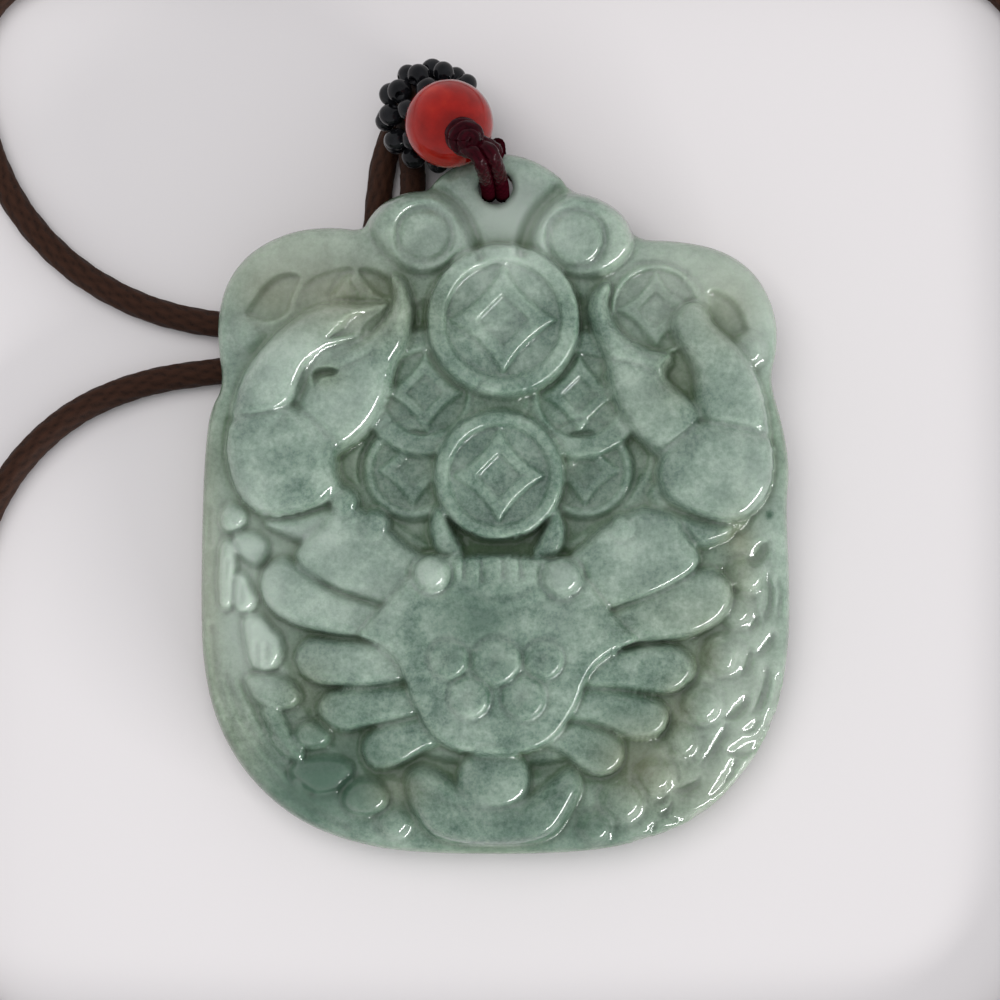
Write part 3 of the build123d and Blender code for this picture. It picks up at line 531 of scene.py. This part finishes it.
def carve(u, v, outline):
    """Heights of the carved face."""
    sculpt = Sculpt(u, v)
    rim = sculpt.distance(outline, True, np.ones(u.shape, bool)).reshape(u.shape)
    for sizes, table in FIELDS.values():
        sculpt.sink_to(*sculpt.outline_work(table), *sizes)
    for x, y, radius, top in LUMPS:
        sculpt.raise_to(*sculpt.circle_work(x, y, radius), LUMP_FOOT, top, 0.9 * radius)
    for row in REAR_COINS:
        sculpt.coin(*row)
    for sizes, table in FORMS.values():
        work = sculpt.sink_to if len(sizes) == 2 else sculpt.raise_to
        work(*sculpt.outline_work(table), *sizes)
    for row in FRONT_COINS:
        sculpt.coin(*row)
    for x, y, radius, low, top in BALLS:
        sculpt.raise_to(*sculpt.circle_work(x, y, radius), low, top, 0.85 * radius)
    for row in SHELL_BUMPS:
        sculpt.bump(*row)
    for x, y, radius, deep, wide in RINGS:
        where, depth = sculpt.circle_work(x, y, radius)
        sculpt.height[where] -= deep * np.exp(-((depth / wide) ** 2))
    for deep, wide, table in GROOVES:
        sculpt.groove(table, deep, wide)
    for row in CHIPS:
        sculpt.chip(*row)
    shoulder = 1 - np.clip(rim / BORDER_ROUND, 0, 1)
    sculpt.height -= BORDER_ROUND * (1 - np.sqrt(1 - shoulder**2))
    hole = np.hypot(u - HOLE_PLACE[0], v - HOLE_PLACE[1]) - HOLE_RADIUS
    mouth = 1 - np.clip(hole / HOLE_ROUND, 0, 1)
    sculpt.height -= HOLE_ROUND * (1 - np.sqrt(1 - mouth**2))
    sculpt.soften()
    return sculpt.height


def blurred(field, spread):
    """A field evened out over this many grid cells."""
    steps = np.arange(len(field))
    kernel = np.exp(-0.5 * ((steps[:, None] - steps[None, :]) / spread) ** 2)
    kernel /= kernel.sum(1)[:, None]
    return kernel @ field @ kernel.T


def hollow_shade(height):
    """0 to 1: how deep each point lies between its surroundings, the mask of the painted shade in
    hollows and creases.
    """
    deep = -HOLLOW_SHADE_START
    for spread, weight in HOLLOW_SHADE_SPREADS:
        deep = deep + weight * np.maximum(blurred(height, spread) - height, 0)
    return np.clip(deep, 0, HOLLOW_SHADE_LIMIT)


def clouds(u, v):
    """How much paler (or, below 0, darker) and how much warmer the stone is at each point, a few clouds
    being painted light and painted shade.
    """
    pale, warm = np.zeros(u.shape), np.zeros(u.shape)
    for x, y, wide, high, paler, warmer in CLOUDS:
        middle = spot((x, y))
        share = np.exp(-(((u - middle[0]) / wide) ** 2) - ((v - middle[1]) / high) ** 2)
        pale += paler * share
        warm += warmer * share
    return pale, warm


def store(mesh, name, values):
    """Keeps a value for each point of a mesh."""
    mesh.attributes.new(name, "FLOAT", "POINT").data.foreach_set("value", np.array(values, np.float32))


def mesh_object(name, points, faces):
    """A smooth mesh object from points in metres and faces."""
    mesh = bpy.data.meshes.new(name)
    mesh.from_pydata([tuple(point) for point in points], [], faces)
    mesh.update()
    mesh.polygons.foreach_set("use_smooth", [True] * len(mesh.polygons))
    piece = bpy.data.objects.new(name, mesh)
    bpy.context.scene.collection.objects.link(piece)
    return piece


def ring_order(size):
    """Indices of a square grid's outer points, in order round it."""
    last = size - 1
    way = [(i, 0) for i in range(last)] + [(last, j) for j in range(last)]
    way += [(i, last) for i in range(last, 0, -1)] + [(0, j) for j in range(last, 0, -1)]
    return [i * size + j for i, j in way]


def hole_edge(faces, border):
    """The face's open edge round the hanging hole, in order."""
    sides = {}
    for face in faces:
        for i in range(4):
            sides[(face[i], face[(i + 1) % 4])] = True
    following = {}
    for a, b in sides:
        if (b, a) not in sides and not (a in border and b in border):
            following[b] = a
    loop = [next(iter(following))]
    while following[loop[-1]] != loop[0]:
        loop.append(following[loop[-1]])
    return loop


def close_back(mesh, rims):
    """Fills the flat back between its rims and drops the points that no face uses."""
    work = bmesh.new()
    work.from_mesh(mesh)
    work.verts.ensure_lookup_table()
    loose = [vert for vert in work.verts if not vert.link_faces]
    edges = []
    for rim in rims:
        for i in range(len(rim)):
            edges.append(work.edges.get((work.verts[rim[i]], work.verts[rim[(i + 1) % len(rim)]])))
    filled = bmesh.ops.triangle_fill(work, edges=edges, use_beauty=True, use_dissolve=False)
    for item in filled["geom"]:
        if isinstance(item, bmesh.types.BMFace):
            item.smooth = False
    bmesh.ops.delete(work, geom=loose, context="VERTS")
    bmesh.ops.recalc_face_normals(work, faces=work.faces)
    work.to_mesh(mesh)
    work.free()


def build_plaque():
    """The carved plaque: its face, rounded side, flat back and hanging hole."""
    outline = soft_line([spot(place) for place in OUTLINE], True, 14)
    u, v = plaque_grid(outline)
    size = GRID_CELLS + 1
    away = np.hypot(u - HOLE_PLACE[0], v - HOLE_PLACE[1])
    cell = PLAQUE_HEIGHT / GRID_CELLS
    snap = (away < HOLE_RADIUS + 0.5 * cell) & (away > HOLE_RADIUS - 0.6 * cell)
    pull = np.where(snap, HOLE_RADIUS / np.maximum(away, 1e-6), 1)
    u = HOLE_PLACE[0] + (u - HOLE_PLACE[0]) * pull
    v = HOLE_PLACE[1] + (v - HOLE_PLACE[1]) * pull
    height = carve(u, v, outline)
    inside_hole = np.hypot(u - HOLE_PLACE[0], v - HOLE_PLACE[1]) < HOLE_RADIUS - 1e-4
    number = np.arange(size * size).reshape(size, size)
    corners = np.stack([number[:-1, :-1], number[1:, :-1], number[1:, 1:], number[:-1, 1:]], -1)
    corners = corners.reshape(-1, 4)
    keep = ~inside_hole.ravel()[corners].any(1)
    faces = [tuple(face) for face in corners[keep].tolist()]
    points = [on_bed(place) for place in zip(u.ravel(), v.ravel(), height.ravel())]
    places = list(zip(u.ravel(), v.ravel()))

    def wall(loop, sections):
        """Rings from a loop of the face down to the back."""
        before = loop
        for spread, level in sections(loop):
            ring = list(range(len(points), len(points) + len(loop)))
            for place, low in zip(spread, level):
                points.append(on_bed((place[0], place[1], low)))
            for i in range(len(loop)):
                j = (i + 1) % len(loop)
                faces.append((before[i], ring[i], ring[j], before[j]))
            before = ring
        return before

    def side_sections(loop):
        """The side bulges a little and turns under in a rounded edge."""
        start = np.array([places[i] for i in loop])
        level = height.ravel()[loop]
        inward = -start / np.hypot(*start.T)[:, None]
        for share_down, step in ((0.35, -0.05), (0.7, -0.02)):
            yield start + step * inward, level * (1 - share_down) + BACK_ROUND * share_down
        for angle in (0, 30, 60, 90):
            turn = math.radians(angle)
            step = BACK_ROUND * (1 - math.cos(turn))
            yield start + step * inward, np.full(len(loop), BACK_ROUND * (1 - math.sin(turn)))

    def hole_sections(loop):
        """The hole's straight wall with a small rounded mouth at the back."""
        start = np.array([places[i] for i in loop])
        middle = np.array(HOLE_PLACE)
        level = height.ravel()[loop]
        yield start, level / 2 + 0.2
        yield start, np.full(len(loop), 0.4)
        yield middle + (start - middle) * 1.05, np.full(len(loop), 0.1)
        yield middle + (start - middle) * 1.15, np.zeros(len(loop))

    border = ring_order(size)
    hole_loop = hole_edge(faces, set(border))
    side_rim = wall(border, side_sections)
    hole_start = len(points)
    hole_rim = wall(hole_loop, hole_sections)
    plaque = mesh_object("plaque_carved", points, faces)
    mesh = plaque.data
    away = np.array(points) - np.array(BED_ORIGIN)
    # Clouds of stone colour, with painted light on the hanging lobe and painted shade in the claws'
    # mouths, gaps and recesses
    pale, warm = clouds(away @ np.array(BED_X) / MM, away @ np.array(BED_Y) / MM)
    # deep: painted shade, olive in the face's hollows and creases
    deep = np.zeros(len(points))
    deep[: size * size] = hollow_shade(height).ravel()
    # Painted shade: the hanging hole's wall takes the full olive of the hollows
    deep[hole_start:] = 1.0
    store(mesh, "deep", deep)
    store(mesh, "pale", pale)
    store(mesh, "warm", warm)
    close_back(mesh, (side_rim, hole_rim))
    finish(plaque, jade_material(), "jade", "jade_plaque")


def nodes_of(material):
    """A material's node tree, emptied, and the shader at its end."""
    material.use_nodes = True
    tree = material.node_tree
    tree.nodes.clear()
    out = tree.nodes.new("ShaderNodeOutputMaterial")
    shader = tree.nodes.new("ShaderNodeBsdfPrincipled")
    tree.links.new(shader.outputs[0], out.inputs[0])
    return tree, shader


def noise(tree, scale, detail, rough):
    """A noise texture in object space."""
    node = tree.nodes.new("ShaderNodeTexNoise")
    node.inputs["Scale"].default_value = scale
    node.inputs["Detail"].default_value = detail
    node.inputs["Roughness"].default_value = rough
    where = tree.nodes.get("Where") or tree.nodes.new("ShaderNodeTexCoord")
    where.name = "Where"
    tree.links.new(where.outputs["Object"], node.inputs["Vector"])
    return node.outputs["Fac"]


def ramp(tree, value, stops):
    """A colour ramp of (place, colour) stops."""
    node = tree.nodes.new("ShaderNodeValToRGB")
    band = node.color_ramp
    while len(band.elements) < len(stops):
        band.elements.new(0.5)
    for element, (place, colour) in zip(band.elements, stops):
        element.position = place
        element.color = (*colour, 1)
    tree.links.new(value, node.inputs["Fac"])
    return node.outputs["Color"]


def mix(tree, share, first, second):
    """Two colours mixed by a share, each a socket or a colour."""
    node = tree.nodes.new("ShaderNodeMix")
    node.data_type = "RGBA"
    for socket, value in ((node.inputs[0], share), (node.inputs[6], first), (node.inputs[7], second)):
        if isinstance(value, bpy.types.NodeSocket):
            tree.links.new(value, socket)
        else:
            socket.default_value = (*value, 1) if isinstance(value, tuple) else value
    return node.outputs[2]


def bump(tree, shader, value, distance, strength):
    """Fine relief on a shader's normal."""
    node = tree.nodes.new("ShaderNodeBump")
    node.inputs["Distance"].default_value = distance
    node.inputs["Strength"].default_value = strength
    tree.links.new(value, node.inputs["Height"])
    tree.links.new(node.outputs[0], shader.inputs["Normal"])


def settle(shader, values):
    """Sets a shader's constant inputs."""
    for name, value in values.items():
        shader.inputs[name].default_value = value


def attribute(tree, name):
    """A value stored on the mesh."""
    node = tree.nodes.new("ShaderNodeAttribute")
    node.attribute_name = name
    return node.outputs["Fac"]


def part_of(tree, value, factor):
    """A value times a factor, kept between 0 and 1."""
    node = tree.nodes.new("ShaderNodeMath")
    node.operation = "MULTIPLY"
    node.use_clamp = True
    node.inputs[1].default_value = factor
    tree.links.new(value, node.inputs[0])
    return node.outputs[0]


def jade_material():
    """Grey-green jadeite, mottled, paler and darker in clouds (a few of them painted light and painted
    shade), with painted olive shade in its hollows, creases and hanging hole.
    """
    material = bpy.data.materials.new("polished_jade")
    tree, shader = nodes_of(material)
    mottle = ramp(tree, noise(tree, 300, 6, 0.68), [
        (0.38, (0.070, 0.128, 0.095)), (0.50, (0.168, 0.248, 0.190)), (0.63, (0.325, 0.412, 0.338)),
    ])
    grain = ramp(tree, noise(tree, 2300, 4, 0.7), [
        (0.34, (0.06, 0.11, 0.078)), (0.60, (0.28, 0.355, 0.295)),
    ])
    body = mix(tree, 0.36, mottle, grain)
    # pale: the stone's clouds, a few of them painted light and painted shade; deep: painted olive shade
    # in hollows, creases and the hanging hole
    for name, factor, colour in (("pale", 0.62, STONE_PALE), ("pale", -0.62, STONE_DARK),
                                 ("warm", 0.5, STONE_WARM), ("deep", 1.0, STONE_HOLLOW_SHADE)):
        body = mix(tree, part_of(tree, attribute(tree, name), factor), body, colour)
    tree.links.new(body, shader.inputs["Base Color"])
    settle(shader, {"Roughness": 0.10, "IOR": 1.66, "Subsurface Weight": 0.55,
                    "Subsurface Radius": (0.0010, 0.0014, 0.0010), "Subsurface Scale": 1.0})
    bump(tree, shader, noise(tree, 700, 2, 0.5), 0.00003, 0.5)
    return material


def gem_material(name, stops, scale, rough, gloss, subsurface, radius):
    """A polished coloured bead with soft clouds inside."""
    material = bpy.data.materials.new(name)
    tree, shader = nodes_of(material)
    tree.links.new(ramp(tree, noise(tree, scale, 4, 0.5), stops), shader.inputs["Base Color"])
    settle(shader, {"Roughness": rough, "Specular IOR Level": gloss, "Subsurface Weight": subsurface,
                    "Subsurface Radius": radius, "Subsurface Scale": 1.0})
    return material


def cord_material(name, crevice_shade, light, rough, gloss, relief):
    """Braided cord, with painted shade that darkens the grooves between its strands and leaves their
    tops lighter, without gloss where the mesh says dull.
    """
    material = bpy.data.materials.new(name)
    tree, shader = nodes_of(material)
    thread = noise(tree, 9000, 2, 0.6)
    # Painted shade: the braid's height darkens its grooves towards the dark colour
    body = mix(tree, attribute(tree, "weave_shade"), crevice_shade, light)
    body = mix(tree, ramp(tree, thread, [(0.35, (0, 0, 0)), (0.7, (0.45, 0.45, 0.45))]), body, light)
    tree.links.new(body, shader.inputs["Base Color"])
    shader.inputs["Roughness"].default_value = rough
    shine = ramp(tree, attribute(tree, "dull"), [(0.0, (gloss, gloss, gloss)), (1.0, (0.0, 0.0, 0.0))])
    tree.links.new(shine, shader.inputs["Specular IOR Level"])
    bump(tree, shader, thread, relief, 1.0)
    return material


def floor_material():
    """A pale matt table."""
    material = bpy.data.materials.new("pale_table")
    tree, shader = nodes_of(material)
    shade = ramp(tree, noise(tree, 3, 3, 0.5), [
        (0.3, (0.69, 0.655, 0.655)), (0.7, (0.72, 0.685, 0.685)),
    ])
    tree.links.new(shade, shader.inputs["Base Color"])
    shader.inputs["Roughness"].default_value = 0.65
    bump(tree, shader, noise(tree, 2500, 2, 0.5), 0.00002, 0.3)
    return material


def finish(piece, material, slot, *nodes):
    """Gives a piece its material, its body and the nodes that it stands for; its slot is not used."""
    piece.data.materials.clear()
    piece.data.materials.append(material)
    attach(piece, "root")
    if nodes:
        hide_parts(*nodes)


def even_path(points, step):
    """Points at even steps along a line, and how far along it each one is."""
    points = np.array(points)
    runs = np.r_[0, np.cumsum(np.linalg.norm(np.diff(points, axis=0), axis=1))]
    count = max(8, int(round(runs[-1] / step)) + 1)
    at = np.linspace(0, runs[-1], count)
    return np.stack([np.interp(at, runs, points[:, k]) for k in range(3)], 1), at


def braid(along, turn, strands, pitch):
    """Height from 0 to 1 of a round braid, over the way along it and the angle round it."""
    a = strands * turn / 2 + math.pi * along / pitch
    b = strands * turn / 2 - math.pi * along / pitch
    over = (np.floor(a / math.pi) + np.floor(b / math.pi)) % 2 == 0
    across = np.abs(np.sin(np.where(over, a, b)))
    length = np.abs(np.sin(np.where(over, b, a)))
    return across**0.6 * length**0.25


def braided_tube(name, points, diameter, step, around, strands, pitch, relief):
    """A closed tube of braided cord along points in metres, and the line that it follows.

    The diameter, step and pitch are in millimetres.
    """
    diameter, pitch = MM * diameter, MM * pitch
    path, at = even_path(points, MM * step)
    ahead = np.gradient(path, axis=0)
    ahead /= np.linalg.norm(ahead, axis=1)[:, None]
    side = np.cross(ahead[0], (0.0, 0.0, 1.0))
    if np.linalg.norm(side) < 0.3:
        side = np.cross(ahead[0], (0.0, 1.0, 0.0))
    verts, weave_shade = [], []
    angles = np.linspace(0, 2 * math.pi, around, endpoint=False)
    for here, way, along in zip(path, ahead, at):
        side = side - way * side.dot(way)
        side /= np.linalg.norm(side)
        up = np.cross(way, side)
        height = braid(along, angles, strands, pitch)
        reach = diameter / 2 * (1 - relief * (1 - height))
        ring = here + reach[:, None] * (np.cos(angles)[:, None] * side + np.sin(angles)[:, None] * up)
        verts.extend(ring)
        weave_shade.extend(height)
    faces = []
    for i in range(len(path) - 1):
        for j in range(around):
            k = (j + 1) % around
            low, high = i * around, (i + 1) * around
            faces.append((low + j, low + k, high + k, high + j))
    for end, way in ((0, -ahead[0]), (len(path) - 1, ahead[-1])):
        before = [end * around + j for j in range(around)]
        rim = np.array(verts[before[0] : before[-1] + 1])
        for share, out in ((0.92, 0.18), (0.72, 0.32), (0.4, 0.4)):
            ring = list(range(len(verts), len(verts) + around))
            verts.extend(path[end] + share * (rim - path[end]) + out * diameter / 2 * way)
            weave_shade.extend(weave_shade[before[0] : before[-1] + 1])
            faces.extend((before[j], before[(j + 1) % around], ring[(j + 1) % around], ring[j])
                         for j in range(around))
            before = ring
        faces.append(tuple(before))
    piece = mesh_object(name, verts, faces)
    # The braid's height at each point, kept as the mask of the painted shade between the strands
    store(piece.data, "weave_shade", weave_shade)
    return piece, path


def spline_points(name, route):
    """Points along a NURBS spline that has the route's points as its control points, in metres."""
    curve = bpy.data.curves.new(name, "CURVE")
    curve.dimensions = "3D"
    spline = curve.splines.new("NURBS")
    spline.points.add(len(route) - 1)
    for point, place in zip(spline.points, route):
        point.co = (*place, 1)
    spline.order_u = 3
    spline.use_endpoint_u = True
    spline.resolution_u = SPLINE_STEPS
    holder = bpy.data.objects.new(name, curve)
    bpy.context.scene.collection.objects.link(holder)
    bpy.context.view_layer.update()
    line = bpy.data.meshes.new_from_object(holder)
    points = [vert.co.copy() for vert in line.vertices]
    bpy.data.objects.remove(holder)
    bpy.data.meshes.remove(line)
    return points


# Route of the neck cord on the floor in millimetres, with the plaque's middle as its origin
NECK_ROUTE = [
    (-9.2, 35.6), (-10.4, 33.0), (-10.9, 29.2), (-11.2, 25.3), (-12.4, 21.6), (-15.1, 18.7),
    (-19.4, 16.9), (-26.0, 16.6), (-34.0, 18.6), (-41.5, 23.4), (-47.0, 31.0), (-50.2, 43.7),
    (-43.3, 51.4), (-24.0, 52.2), (2.0, 52.5), (26.0, 52.2), (44.1, 51.4), (51.2, 44.3),
    (52.0, 25.0), (52.3, 0.0), (52.0, -25.0), (51.2, -43.4), (44.1, -50.5), (25.0, -51.3),
    (0.0, -51.6), (-24.0, -51.3), (-43.3, -50.5), (-50.4, -43.4), (-51.0, -26.0),
    (-50.1, -10.0), (-46.9, 0.8), (-41.0, 7.8), (-33.5, 11.4), (-25.0, 12.6), (-18.0, 13.2),
    (-12.9, 15.6), (-10.2, 19.4), (-8.4, 23.6), (-7.7, 27.4), (-7.75, 30.9),
]

# Middle of the satin pair in millimetres across, along and above the plaque's back, and the way from
# its left strand to its right one
SATIN_ROUTE = [
    ((-2.2, 31.66, 13.3), (0.96, 0.2, -0.2)),
    ((-1.15, 31.45, 15.0), (0.94, 0.33, 0)),
    ((-0.6, 30.3, 13.8), (0.93, 0.36, 0)),
    ((-0.2, 29.3, 11.0), (1, 0.15, 0)),
    ((0, 28.45, 7.4), (1, 0, 0)),
    ((0, 28.6, -3.1), (1, 0, 0)),
    ((-0.3, 33.1, -3.37), (1, 0, 0)),
    ((-0.45, 33.1, 4.7), (1, 0, 0)),
    ((-0.5, 31.7, 7.2), (1, 0, 0)),
    ((-0.55, 31.75, 9.4), (1, -0.1, 0)),
    ((-0.6, 32.05, 11.2), (0.93, -0.35, 0.68)),
    ((-1.4, 32.55, 11.8), (0.27, -0.32, 0.91)),
]


# Turns of the knot in millimetres: height above the red bead, radius, how far one side stands higher
KNOT_TURNS = [(0.55, 1.02, 0.10), (1.75, 1.06, -0.16), (2.7, 0.5, 0.10)]


def build_neck_cord():
    """The braided neck cord along its route, and a stub from its end into the ball; its material."""
    rise = NECK_CORD / 2
    route = [(MM * x, BED_ORIGIN.y + MM * y, MM * rise) for x, y in NECK_ROUTE]
    points = spline_points("neck_route", route)
    cord, path = braided_tube("neck_cord_braid", points, NECK_CORD, **BROWN_BRAID)
    cord.visible_glossy = False
    # The dark colour is painted shade in the grooves between the braid's strands
    brown = cord_material("brown_braid", crevice_shade=(0.005, 0.002, 0.001), light=(0.040, 0.016, 0.009),
                          rough=0.6, gloss=0.15, relief=0.00006)
    finish(cord, brown, "brown_cord", "neck_cord")
    end = Vector(route[-1])
    stub = [end, end + MM * Vector((-0.1, 1.4, 0.5)), end + MM * Vector((-0.2, 2.6, 1.4))]
    piece, _ = braided_tube("cord_into_ball", stub, STUB_CORD, **BROWN_BRAID)
    piece.visible_glossy = False
    finish(piece, brown, "brown_cord")
    return brown


def build_heart(material):
    """The wound cord inside the beaded ball, all in the braid's darkest colour: painted shade between
    the seeds.
    """
    low, high = (Vector(corner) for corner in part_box("ball_core"))
    middle = (low + high) / 2
    ahead = (bead_frame()[0] - middle).normalized()
    across = ahead.orthogonal().normalized()
    profile = bead_profile(MM * HEART_RADIUS, MM * HEART_HOLE, flat=0.72, steps=24)
    verts, faces = lathe(profile, middle, across, ahead.cross(across), ahead, 48)
    piece = mesh_object("ball_heart", verts, faces)
    # Painted shade: no braid tops, so the heart is dark all over between the seeds
    store(piece.data, "weave_shade", [0.0] * len(verts))
    finish(piece, material, "brown_cord", "ball_core")


def build_loop(material):
    """The two satin strands from the knot, down through the hole and back behind the lobe."""
    for number, half in enumerate((-0.5, 0.5)):
        offset = half * (SATIN - SATIN_PRESS)
        route = [on_bed(Vector(place) + offset * Vector(side)) for place, side in SATIN_ROUTE]
        points = spline_points("satin_route", route)
        strand, _ = braided_tube(f"satin_strand_{number + 1}", points, SATIN, **LOOP_BRAID)
        level = np.array([(vert.co - BED_ORIGIN).dot(BED_UP) / MM for vert in strand.data.vertices])
        store(strand.data, "dull", smooth_step((DULL_TOP - level) / DULL_DEPTH))
        finish(strand, material, "maroon_satin", "hanging_loop")


def bead_frame():
    """The red bead's middle and the axes across and along its drilled hole."""
    low, high = (Vector(corner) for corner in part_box("carnelian_bead"))
    along = (BEAD_TILT[0] * BED_X + BEAD_TILT[1] * BED_Y + BEAD_TILT[2] * BED_UP).normalized()
    across = along.cross(BED_Y).normalized()
    return (low + high) / 2, across, along.cross(across), along


def lathe(profile, middle, across, beside, along, around):
    """A closed ring of sections turned about an axis, from (radius, height) in metres."""
    verts = []
    for i in range(around):
        turn = 2 * math.pi * i / around
        out = math.cos(turn) * across + math.sin(turn) * beside
        verts.extend(middle + radius * out + height * along for radius, height in profile)
    count = len(profile)
    faces = []
    for i in range(around):
        for j in range(count):
            k, n = (j + 1) % count, (i + 1) % around
            faces.append((i * count + j, n * count + j, n * count + k, i * count + k))
    return verts, faces


def bead_profile(radius, hole, flat, steps):
    """Section of a drilled bead: a rounded outside, and a bore that narrows to its thread."""
    start = math.asin(hole * 1.25 / radius)
    profile = []
    for i in range(steps + 1):
        angle = start + (math.pi - 2 * start) * i / steps
        profile.append((radius * math.sin(angle), flat * radius * math.cos(angle)))
    end = flat * radius * math.cos(start)
    profile += [(hole * 1.06, -end * 0.985), (hole, -end * 0.93), (hole * 0.1, -end * 0.88),
                (hole * 0.1, end * 0.88), (hole, end * 0.93), (hole * 1.06, end * 0.985)]
    return profile


def build_bead():
    """The red bead."""
    middle, across, beside, along = bead_frame()
    profile = bead_profile(MM * BEAD_RADIUS, MM * BEAD_HOLE, flat=1.0, steps=48)
    verts, faces = lathe(profile, middle, across, beside, along, 96)
    piece = mesh_object("carnelian_polished", verts, faces)
    stops = [(0.35, (0.18, 0.004, 0.002)), (0.55, (0.30, 0.008, 0.004)), (0.75, (0.43, 0.026, 0.008))]
    material = gem_material("carnelian", stops, scale=260, rough=0.07, gloss=0.3, subsurface=0.3,
                            radius=(0.0016, 0.0003, 0.0002))
    finish(piece, material, "carnelian", "carnelian_bead")


def loose_middles(node):
    """Middles of the separate solids of a node."""
    mesh = frame["nodes"][node].data
    parent = list(range(len(mesh.vertices)))

    def top(i):
        while parent[i] != i:
            parent[i] = parent[parent[i]]
            i = parent[i]
        return i

    for edge in mesh.edges:
        a, b = top(edge.vertices[0]), top(edge.vertices[1])
        if a != b:
            parent[a] = b
    groups = {}
    for i, vert in enumerate(mesh.vertices):
        groups.setdefault(top(i), []).append(vert.co)
    places = []
    for group in groups.values():
        low = Vector(min(co[k] for co in group) for k in range(3))
        high = Vector(max(co[k] for co in group) for k in range(3))
        if (high - low).length > MM * SEED_RADIUS:
            places.append((low + high) / 2)
    middles = []
    for place in places:
        if all((place - other).length > MM * SEED_RADIUS for other in middles):
            middles.append(place)
    return middles


def build_seeds():
    """Black glass seed beads, each a drilled ring, at the places of the node's solids."""
    dice = random.Random(7)
    low, high = (Vector(corner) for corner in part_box("ball_core"))
    heart = (low + high) / 2
    verts, faces = [], []
    profile = bead_profile(MM * (SEED_RADIUS + SEED_SWELL), MM * SEED_HOLE, flat=0.88, steps=14)
    for place in loose_middles("black_beads"):
        outward = (place - heart).normalized()
        spin = Vector([dice.uniform(-1, 1) for _ in range(3)])
        along = (outward.cross(spin) + 0.35 * outward * dice.uniform(-1, 1)).normalized()
        across = along.orthogonal().normalized()
        ring, quads = lathe(profile, place, across, along.cross(across), along, 28)
        faces.extend(tuple(index + len(verts) for index in face) for face in quads)
        verts.extend(ring)
    piece = mesh_object("seed_beads", verts, faces)
    stops = [(0.4, (0.004, 0.004, 0.005)), (0.7, (0.012, 0.012, 0.014))]
    material = gem_material("black_glass", stops, scale=900, rough=0.07, gloss=0.25, subsurface=0.0,
                            radius=(0.0005, 0.0005, 0.0005))
    finish(piece, material, "black_glass", "black_beads")


def build_knot(material):
    """Turns of the satin cord wound round the strands above the red bead, and the stem through it."""
    middle, across, beside, along = bead_frame()
    start = MM * (BEAD_RADIUS + 0.1)
    stem = [middle + along * (MM * step) for step in (-5.3, -2.5, 0.0, 2.5, 6.0)]
    piece, _ = braided_tube("knot_stem", stem, STEM_CORD, **STEM_BRAID)
    finish(piece, material, "maroon_satin", "loop_knot")
    for number, (level, reach, lean) in enumerate(KNOT_TURNS):
        ring = []
        for i in range(37):
            turn = 2 * math.pi * i / 36
            out = math.cos(turn) * across + math.sin(turn) * beside
            rise = MM * (level + lean * math.sin(turn))
            ring.append(middle + MM * reach * out + along * (start + rise))
        piece, _ = braided_tube(f"knot_turn_{number + 1}", ring, TURN_CORD, **TURN_BRAID)
        finish(piece, material, "maroon_satin", "loop_knot")


def area_light(name, place, target, size, power):
    """A soft rectangular light at a place, turned towards a target."""
    light = bpy.data.lights.new(name, "AREA")
    light.shape = "RECTANGLE"
    light.size, light.size_y = size
    light.energy = power
    holder = bpy.data.objects.new(name, light)
    holder.location = place
    holder.rotation_euler = (Vector(place) - Vector(target)).to_track_quat("Z", "Y").to_euler()
    bpy.context.scene.collection.objects.link(holder)
    return holder


def build_stage():
    """Floor, lights and the sky round them."""
    floor = mesh_object("floor", [(-2, -2, 0), (2, -2, 0), (2, 2, 0), (-2, 2, 0)], [(0, 1, 2, 3)])
    floor.data.materials.append(floor_material())
    world = bpy.data.worlds.new("room")
    world.use_nodes = True
    tree = world.node_tree
    where = tree.nodes.new("ShaderNodeTexCoord")
    height = tree.nodes.new("ShaderNodeSeparateXYZ")
    tree.links.new(where.outputs["Generated"], height.inputs[0])
    sky = ramp(tree, height.outputs[2], [
        (0.0, (0.78, 0.785, 0.79)), (0.25, (0.66, 0.675, 0.69)), (0.8, (0.50, 0.515, 0.54)),
    ])
    tree.links.new(sky, tree.nodes["Background"].inputs[0])
    bpy.context.scene.world = world
    bpy.context.scene.view_settings.view_transform = "Standard"
    middle = on_bed((0, 0, 4))
    area_light("window", (1.32, -1.28, 0.52), middle, (1.5, 0.20), 28.0)
    ceiling = area_light("ceiling", (-0.25, 0.30, 1.1), middle, (0.9, 0.9), 7.0)
    ceiling.visible_glossy = False


def build_camera():
    """A camera square to the plaque's face, at the photograph's distance."""
    away, width, sensor = 320.0, 91.6, 36
    middle = (0.41, 0.37)
    camera = bpy.data.cameras.new("camera")
    camera.sensor_width = sensor
    camera.lens = sensor * away / width
    camera.clip_start = 0.01
    holder = bpy.data.objects.new("camera", camera)
    turn = Matrix((BED_Y.cross(BED_UP), BED_Y, BED_UP)).transposed().to_4x4()
    holder.matrix_world = Matrix.Translation(on_bed((*middle, BORDER - 0.3 + away))) @ turn
    bpy.context.scene.collection.objects.link(holder)
    bpy.context.scene.camera = holder


build_camera()
build_stage()
brown = build_neck_cord()
build_plaque()
# The dark colour is painted shade in the grooves between the satin's strands
satin = cord_material("maroon_satin", crevice_shade=(0.004, 0.0006, 0.001), light=(0.030, 0.002, 0.005),
                      rough=0.12, gloss=0.07, relief=0.000012)
build_loop(satin)
build_knot(satin)
build_bead()
build_seeds()
build_heart(brown)
